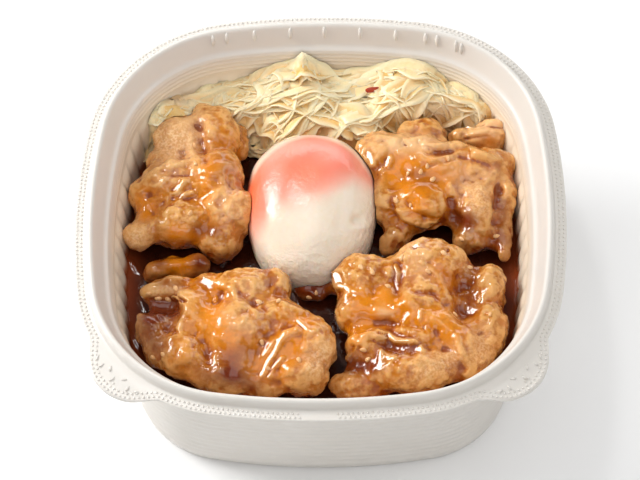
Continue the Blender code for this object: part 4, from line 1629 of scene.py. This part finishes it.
@dataclass
class Ground:
    """The heap's upper side, as heights over a plan grid."""

    xs: np.ndarray
    ys: np.ndarray
    heights: np.ndarray

    @classmethod
    def under(cls, tree: BVHTree) -> "Ground":
        """Reads the heights off a tree by rays cast down, and smooths them a little."""
        xs, ys = np.arange(-70.0, 70.5, 1.0), np.arange(34.0, 72.5, 1.0)
        heights = np.full((len(xs), len(ys)), SAUCE_Z)
        for i, x in enumerate(xs):
            for j, y in enumerate(ys):
                hit = tree.ray_cast(Vector((x, y, SKY_Z)), DOWN)[0]
                if hit is not None:
                    heights[i, j] = hit.z
        for _ in range(2):
            wide = np.pad(heights, 1, mode="edge")
            heights = wide[:-2, 1:-1] + wide[2:, 1:-1] + wide[1:-1, :-2] + wide[1:-1, 2:]
            heights /= 4
        return cls(xs, ys, heights)

    def at(self, x: np.ndarray, y: np.ndarray) -> np.ndarray:
        """The heights at places in plan."""
        z = self.heights
        i = np.clip(np.searchsorted(self.xs, x) - 1, 0, len(self.xs) - 2)
        j = np.clip(np.searchsorted(self.ys, y) - 1, 0, len(self.ys) - 2)
        right, back = share_of(x, self.xs[i]), share_of(y, self.ys[j])
        return (
            z[i, j] * (1 - right) * (1 - back) + z[i + 1, j] * right * (1 - back)
            + z[i, j + 1] * (1 - right) * back + z[i + 1, j + 1] * right * back)


@dataclass
class Cabbage:
    """The heap of cooked cabbage along the back wall: a core under many limp strips."""

    effects: Effects
    strips: int = 215
    steps: int = 20
    draw: int = 17
    tone_draw: int = 5
    # Strips laid where they show: x, y and how high over the heap
    placed: Rows = (
        (-6, 68, 9.0), (-5, 67, 8.0), (-8, 68, 7.5), (34, 68, 6.0), (30, 67, 5.0), (37, 66, 5.0),
        (-18, 67, 3.6), (-26, 67, 3.4), (20, 67, 3.6), (44, 62, 3.2), (50, 54, 2.4), (56, 52, 2.6),
        (60, 50, 2.0), (53, 50, 1.6), (58, 48, 1.4), (62, 46, 1.2), (55, 55, 3.0), (48, 57, 3.0),
        (-60, 50, 1.5), (-58, 55, 2.0), (-62, 45, 1.2), (0, 48, 2.0), (6, 47, 1.6), (-8, 46, 1.4),
        (44, 49, 1.6), (46, 48, 0.8), (42, 48, 1.0), (45, 50, 2.2))
    # The heap's top along the back wall, and how far forward its strips come
    crest: Rows = (
        (-62, 44.5), (-52, 43.0), (-42, 42.0), (-32, 42.3), (-24, 43.5), (-16, 47.2), (-9, 49.0),
        (-6.5, 54.2), (-4, 49.0), (0, 46.0), (5, 44.8), (16, 44.8), (23, 48.0), (30, 50.4),
        (36, 50.2), (41, 47.0), (50, 45.5), (62, 43.5))
    crest_over: float = 1.6
    back_y: float = 63.0
    front: Rows = (
        (-66, 40.0), (-60, 44.0), (-54, 54.0), (-30, 50.0), (-22, 44.0), (12, 44.0), (20, 47.0),
        (34, 49.5), (40, 46.0), (50, 47.0), (64, 48.0))
    # Brown stains seen from above: middle, reaches, strength
    stains: Rows = ((63, 49, 6, 6, 1.0), (-52, 58, 5, 3, 0.7), (41, 49, 6, 4, 0.9))
    fleck_radii: Colour = (2.5, 1.0, 0.35)

    def strip_line(
        self, ground: Ground, rng: random.Random, shape: dict[str, float], x: float, y: float,
        lift: float
    ) -> np.ndarray:
        """A strip's middle line, from end to end over the heap.

        Args:
            ground: The heap's upper side.
            rng: Where the height at the back comes from.
            shape: The strip's heading, bend, length, wave and phase.
            x: Its middle, across.
            y: Its middle, towards the back.
            lift: How high over the heap it lies.

        Returns:
            The line's points.
        """
        level, wall_gap = 46.0, 1.6
        samples = np.linspace(-0.5, 0.5, self.steps + 1)
        phase = shape["phase"]
        angle = shape["heading"] + shape["bend"] * samples + 0.25 * np.sin(samples * 9 + phase)
        step = shape["length"] / self.steps
        cx = np.cumsum(np.cos(angle)) * step
        cy = np.cumsum(np.sin(angle)) * step
        cx += x - cx.mean()
        cy += y - cy.mean()
        flat = np.column_stack((cx, cy, np.full(len(cx), level)))
        cx, cy, _ = keep_inside_wall(flat, wall_gap).T
        cy = np.maximum(cy, np.interp(cx, *zip(*self.front)))
        under = ground.at(cx, cy)
        kernel = np.array((1, 2, 3, 4, 3, 2, 1)) / 16
        cz = np.convolve(np.pad(under, 3, mode="edge"), kernel, mode="valid")
        cz = np.maximum(cz, under - 0.5) + lift + shape["wave"] * np.sin(samples * 8 + phase)
        top = np.interp(cx, *zip(*self.crest)) + self.crest_over
        raised = np.maximum(cz, top - rng.uniform(0, 3))
        cz = np.minimum(np.where(cy > self.back_y, raised, cz), top)
        return np.column_stack((cx, cy, cz))

    def strip(
        self, unit: np.ndarray, ground: Ground, rng: random.Random, x: float, y: float,
        lift: float
    ) -> np.ndarray:
        """One strip's vertices, laid along the heap.

        Args:
            unit: The flat strip that every strip starts from, one unit each way.
            ground: The heap's upper side.
            rng: Where its sizes and its turns come from.
            x: Its middle, across.
            y: Its middle, towards the back.
            lift: How high over the heap it lies.

        Returns:
            The vertices in millimetres.
        """
        heading = -0.75 * x / 70 * (1 if y > 50 else 0.4) + rng.gauss(0, 0.42)
        if rng.random() < 0.2:
            heading += rng.uniform(0.8, 1.6)
        thin = rng.random() < (0.2 if lift < 1.4 else 0.6) and y > 50
        length = rng.uniform(26, 50) if thin else rng.uniform(22, 44)
        width = rng.uniform(1.5, 2.8) if thin else rng.uniform(3.6, 8.5)
        shape = {
            "heading": heading, "length": length, "bend": rng.gauss(0, 0.7),
            "wave": rng.uniform(0.2, 0.8), "phase": rng.uniform(0, math.tau)}
        curl, lean = rng.gauss(0, 0.35), rng.gauss(0, 0.25)
        thick = rng.uniform(0.35, 0.6)
        line = self.strip_line(ground, rng, shape, x, y, lift)
        samples = np.linspace(-0.5, 0.5, self.steps + 1)
        ahead = unit_rows(np.gradient(line, axis=0))
        side = unit_rows(np.cross(ahead, np.array((0, 0, 1.0))))
        up = np.cross(side, ahead)
        roll = (lean + curl * samples * 2)[:, None]
        side, up = (
            side * np.cos(roll) + up * np.sin(roll), up * np.cos(roll) - side * np.sin(roll))
        taper = np.clip(1.3 - np.abs(samples) * 1.7, 0.3, 1.0)
        taper *= 1 + 0.22 * np.sin(samples * 17 + shape["phase"] * 2)
        index = np.clip(np.rint((unit[:, 0] + 0.5) * self.steps).astype(int), 0, self.steps)
        reach = unit[:, 1] * width * taper[index]
        rise = unit[:, 2] * thick + unit[:, 1] ** 2 * width * 0.25
        return line[index] + side[index] * reach[:, None] + up[index] * rise[:, None]

    def shreds(self, tree: BVHTree) -> tuple[bpy.types.Object, np.ndarray]:
        """All the strips as one mesh, and the flat strip that each started from."""
        deselect()
        bpy.ops.mesh.primitive_grid_add(x_subdivisions=self.steps, y_subdivisions=3, size=1.0)
        flat = bpy.context.object
        wall = flat.modifiers.new("Thickness", "SOLIDIFY")
        wall.thickness = 1.0
        wall.offset = 0.0
        apply_modifiers(flat)
        unit = points_of(flat) * MM
        ground = Ground.under(tree)
        rng = random.Random(self.draw)
        places = []
        for number in range(self.strips):
            lift = -0.2 + 3.4 * number / self.strips
            x, y = rng.uniform(-62, 62), rng.uniform(45, 70)
            places.append(self.strip(unit, ground, rng, x, y, lift))
        for x, y, lift in self.placed:
            places.append(self.strip(unit, ground, rng, x, y, lift))
        return copies_mesh("cabbage_strips", flat, places), unit

    def colour_masks(
        self, core: bpy.types.Object, strips: bpy.types.Object, unit: np.ndarray
    ) -> None:
        """Keeps each strip's tone, partly painted shade on the lower strips, and its edges, and where
        both pieces get painted shade deep in the heap or are stained.

        Args:
            core: The heap under the strips.
            strips: The strips, the low ones first.
            unit: The flat strip that each started from.
        """
        rng = np.random.default_rng(self.tone_draw)
        count = len(strips.data.vertices) // len(unit)
        # Lower strips, laid first, get a yellower tone as painted shade, on top of a random tone for
        # each strip
        depth = np.append(np.linspace(0.95, 0.0, self.strips), np.full(count - self.strips, 0.2))
        tone = np.clip(depth + rng.normal(0.0, 0.22, count), 0, 1)
        rim = np.where(np.abs(unit[:, 1]) > 0.4, 0.8, 0.0)
        # The core, under the strips, gets a yellower tone and extra painted shade
        for piece, tones, edges, shade in (
            (strips, np.repeat(tone, len(unit)), np.tile(rim, count), 0.0),
            (core, np.full(len(core.data.vertices), 0.7), np.zeros(len(core.data.vertices)), 0.35),
        ):
            place = points_of(piece)
            height = place[:, 2] - np.interp(place[:, 0], *zip(*self.crest))
            # Painted shade: darker the deeper under the heap's crest, and more on the core under the
            # strips
            depth_shade = share_of(-height, 0.0, 16.0) ** 1.4 * 0.8 + shade
            stain = patches(place[:, 0], place[:, 1], self.stains) * 0.75
            save_mask(piece, "tone", tones)
            save_mask(piece, "edge", edges)
            save_mask(piece, "depth_shade", np.clip(depth_shade, 0, 1))
            save_mask(piece, "stain", np.clip(stain, 0, 1))

    def build(self, neighbours: list[BVHTree]) -> None:
        """Makes and dresses the core, the strips and the fleck.

        Args:
            neighbours: What the heap has to stay clear of.
        """
        core = craggy_body("cabbage_core", CABBAGE_CORE, 1.0)
        fitted(core, neighbours)
        slice_bottom(core, CUT_Z)
        strips, unit = self.shreds(tree_of(core))
        fitted(strips, neighbours, 0.25)
        self.colour_masks(core, strips, unit)
        finish = CookedCabbage(self.effects).build()
        hand_over(core, finish, "pale_cabbage", "cabbage")
        hand_over(strips, finish, "pale_cabbage")
        self.fleck(tree_of(strips))

    def fleck(self, tree: BVHTree) -> None:
        """The one red fleck, where the line of sight through its place meets the strips."""
        scrap, unit = ball(3)
        scrap.name = "chilli_fleck"
        eye = Vector(EYE)
        hits = [
            tree.ray_cast(eye, sight(FLECK[0] + aside, FLECK[1]))
            for aside in (-2.2, -1.1, 0.0, 1.1, 2.2)]
        nearest = min(hit[3] for hit in hits)
        middle, normal = hits[2][:2]
        spot = eye + (middle - eye).normalized() * (nearest - 0.2)
        unit[:, 1] *= 1 - 0.4 * unit[:, 0]
        unit *= np.array(self.fleck_radii)
        unit[:, 2] -= 0.08 * unit[:, 0] ** 2
        facing = (normal + (eye - spot).normalized() * 2).normalized()
        stand = np.array(facing.to_track_quat("Z", "Y").to_matrix())
        set_points(scrap, unit @ stand.T + np.array(spot))
        chilli = Scrap(
            self.effects, "chilli_finish", (0.52, 0.055, 0.014), (0.34, 0.026, 0.010), 1.5, 0.3)
        hand_over(scrap, chilli.build(), None)


@dataclass
class Sauce:
    """The sauce over the bed of rice, drawn up a little where it meets wall and food."""

    effects: Effects
    around: int = 540
    rings: int = 120
    climb: float = 1.1
    climb_limit: float = 1.5
    low: tuple[Station, ...] = stations((63.8, 29.5, 1.6, 10.6), (66.1, 31.5, 5.0, 10.6))
    level: Station = Station(67.9, 36.5, SAUCE_Z, 9.6)

    def build(self, food: list[BVHTree]) -> bpy.types.Object:
        """Makes and dresses the sauce.

        Args:
            food: What stands in the sauce.

        Returns:
            The piece.
        """
        search, nothing_near = 6.0, 30.0
        stack = []
        for station in self.low:
            ring = outline(station, self.around, GAP)
            stack.append(np.column_stack((ring, np.full(len(ring), station.z))))
        edge = outline(self.level, self.around, GAP - 0.15)
        for number in range(self.rings):
            share = 1 - (number / self.rings) ** 1.25
            stack.append(np.column_stack((edge * share, np.full(len(edge), SAUCE_Z))))
        pool = ring_mesh("sauce_pool", stack)
        points = points_of(pool)
        top = points[:, 2] > SAUCE_Z - 0.5
        radius = np.linalg.norm(points[:, :2], axis=1)
        wall = np.maximum(reach_of(self.level, points, GAP) - radius, 0.0)
        near = np.full(len(points), nothing_near)
        for number in np.nonzero(top)[0]:
            for tree in food:
                hit = tree.find_nearest(Vector(points[number]), search)
                if hit[0] is not None:
                    near[number] = min(near[number], hit[3])
        rise = self.climb * (np.exp(-wall / 1.1) + 0.8 * np.exp(-near / 1.3))
        points[top, 2] += np.minimum(rise, self.climb_limit)[top]
        for mark in SAUCE_GLINTS:
            lay_glint(points, top & (wall > 0.1), mark, SPARK)
        set_points(pool, points)
        save_mask(pool, "shallow", bell(wall, 4.2) * 0.85)
        return hand_over(pool, BrownSauce(self.effects).build(), "brown_sauce", "sauce")


@dataclass(frozen=True)
class Lamp:
    """A soft box: its name, place, size and power."""

    name: str
    place: Colour
    width: float
    depth: float
    power: float


@dataclass
class Studio:
    """Pale floor, soft boxes and the camera."""

    lamps: tuple[Lamp, ...] = (
        Lamp("key_left", tuple(KEY * MM), 0.32, 0.27, 4.6),
        Lamp("spark", tuple(SPARK * MM), 0.11, 0.11, 1.0),
        Lamp("wide_left", (-0.90, 0.35, 0.75), 0.9, 0.6, 2.6),
        Lamp("back_low", (0.20, 0.85, 0.36), 1.2, 0.30, 2.8),
        Lamp("fill_right", (0.85, 0.15, 0.60), 0.8, 0.6, 2.8),
        Lamp("overhead", (0.0, -0.15, 1.0), 0.9, 0.9, 3.3),
        Lamp("fill_front", (0.0, -0.95, 0.55), 1.2, 0.5, 3.6),
    )
    sky: float = 0.10
    aim: Colour = (0.0, 0.0, 0.045)
    floor_size: float = 6.0
    sensor_width: float = 36.0

    def floor(self) -> None:
        """A wide pale floor."""
        deselect()
        bpy.ops.mesh.primitive_grid_add(x_subdivisions=4, y_subdivisions=4, size=self.floor_size)
        floor = bpy.context.object
        floor.name = "studio_floor"
        material = bpy.data.materials.new("studio_floor")
        material.use_nodes = True
        nodes = Nodes(material.node_tree)
        shader = material.node_tree.nodes["Principled BSDF"]
        haze = nodes.noise(nodes.coordinates(), 600.0)
        colour = nodes.mix(haze, (0.93, 0.93, 0.93), (0.96, 0.96, 0.96))
        nodes.feed(shader.inputs["Base Color"], colour)
        nodes.feed(shader.inputs["Roughness"], 0.9)
        floor.data.materials.append(material)

    def lights(self) -> None:
        """The soft boxes, each aimed at the bowl, and an even sky."""
        for lamp in self.lamps:
            data = bpy.data.lights.new(lamp.name, "AREA")
            data.shape = "RECTANGLE"
            data.size = lamp.width
            data.size_y = lamp.depth
            data.energy = lamp.power
            light = bpy.data.objects.new(lamp.name, data)
            bpy.context.scene.collection.objects.link(light)
            place = Vector(lamp.place)
            turn = (Vector(self.aim) - place).to_track_quat("-Z", "Y")
            light.matrix_world = Matrix.Translation(place) @ turn.to_matrix().to_4x4()
        world = bpy.data.worlds.new("studio_sky")
        world.use_nodes = True
        background = world.node_tree.nodes["Background"]
        background.inputs["Strength"].default_value = self.sky
        background.inputs["Color"].default_value = (1.0, 1.0, 1.0, 1.0)
        bpy.context.scene.world = world

    def camera(self) -> None:
        """The camera at the angle that the bowl is looked at from."""
        data = bpy.data.cameras.new("camera")
        data.lens = EYE_LENS
        data.sensor_width = self.sensor_width
        camera = bpy.data.objects.new("camera", data)
        bpy.context.scene.collection.objects.link(camera)
        turn = Matrix(EYE_AXES).transposed().to_4x4()
        camera.matrix_world = Matrix.Translation(Vector(EYE) * MM) @ turn
        bpy.context.scene.camera = camera

    def build(self) -> None:
        """Sets the studio up."""
        self.floor()
        self.lights()
        self.camera()


def main() -> None:
    """Builds the studio, then the pieces in order, and notes the sizes."""
    logging.basicConfig(level=logging.INFO, format="%(name)s %(message)s")
    bpy.context.scene.view_settings.view_transform = "Standard"
    effects = Effects()
    Studio().build()
    Bowl(effects).build()
    trees = [tree_of(Egg(effects).build())]
    finish = GlazedChicken(effects).build()
    for chicken in (
        Chicken("front_left", FRONT_LEFT, FRONT_LEFT_MARKS),
        Chicken("front_right", FRONT_RIGHT, FRONT_RIGHT_MARKS),
        Chicken("back_left", BACK_LEFT, BACK_LEFT_MARKS),
        Chicken("back_right", BACK_RIGHT, BACK_RIGHT_MARKS),
        Chicken("corner", CORNER_PIECE, CORNER_PIECE_MARKS),
        Chicken("nub", LEFT_NUB, LEFT_NUB_MARKS),
    ):
        trees.append(tree_of(chicken.build(finish, trees)))
    Seeds(effects).build(trees[1:])
    Cabbage(effects).build(trees)
    Sauce(effects).build(trees)


if __name__ == "__main__":
    main()
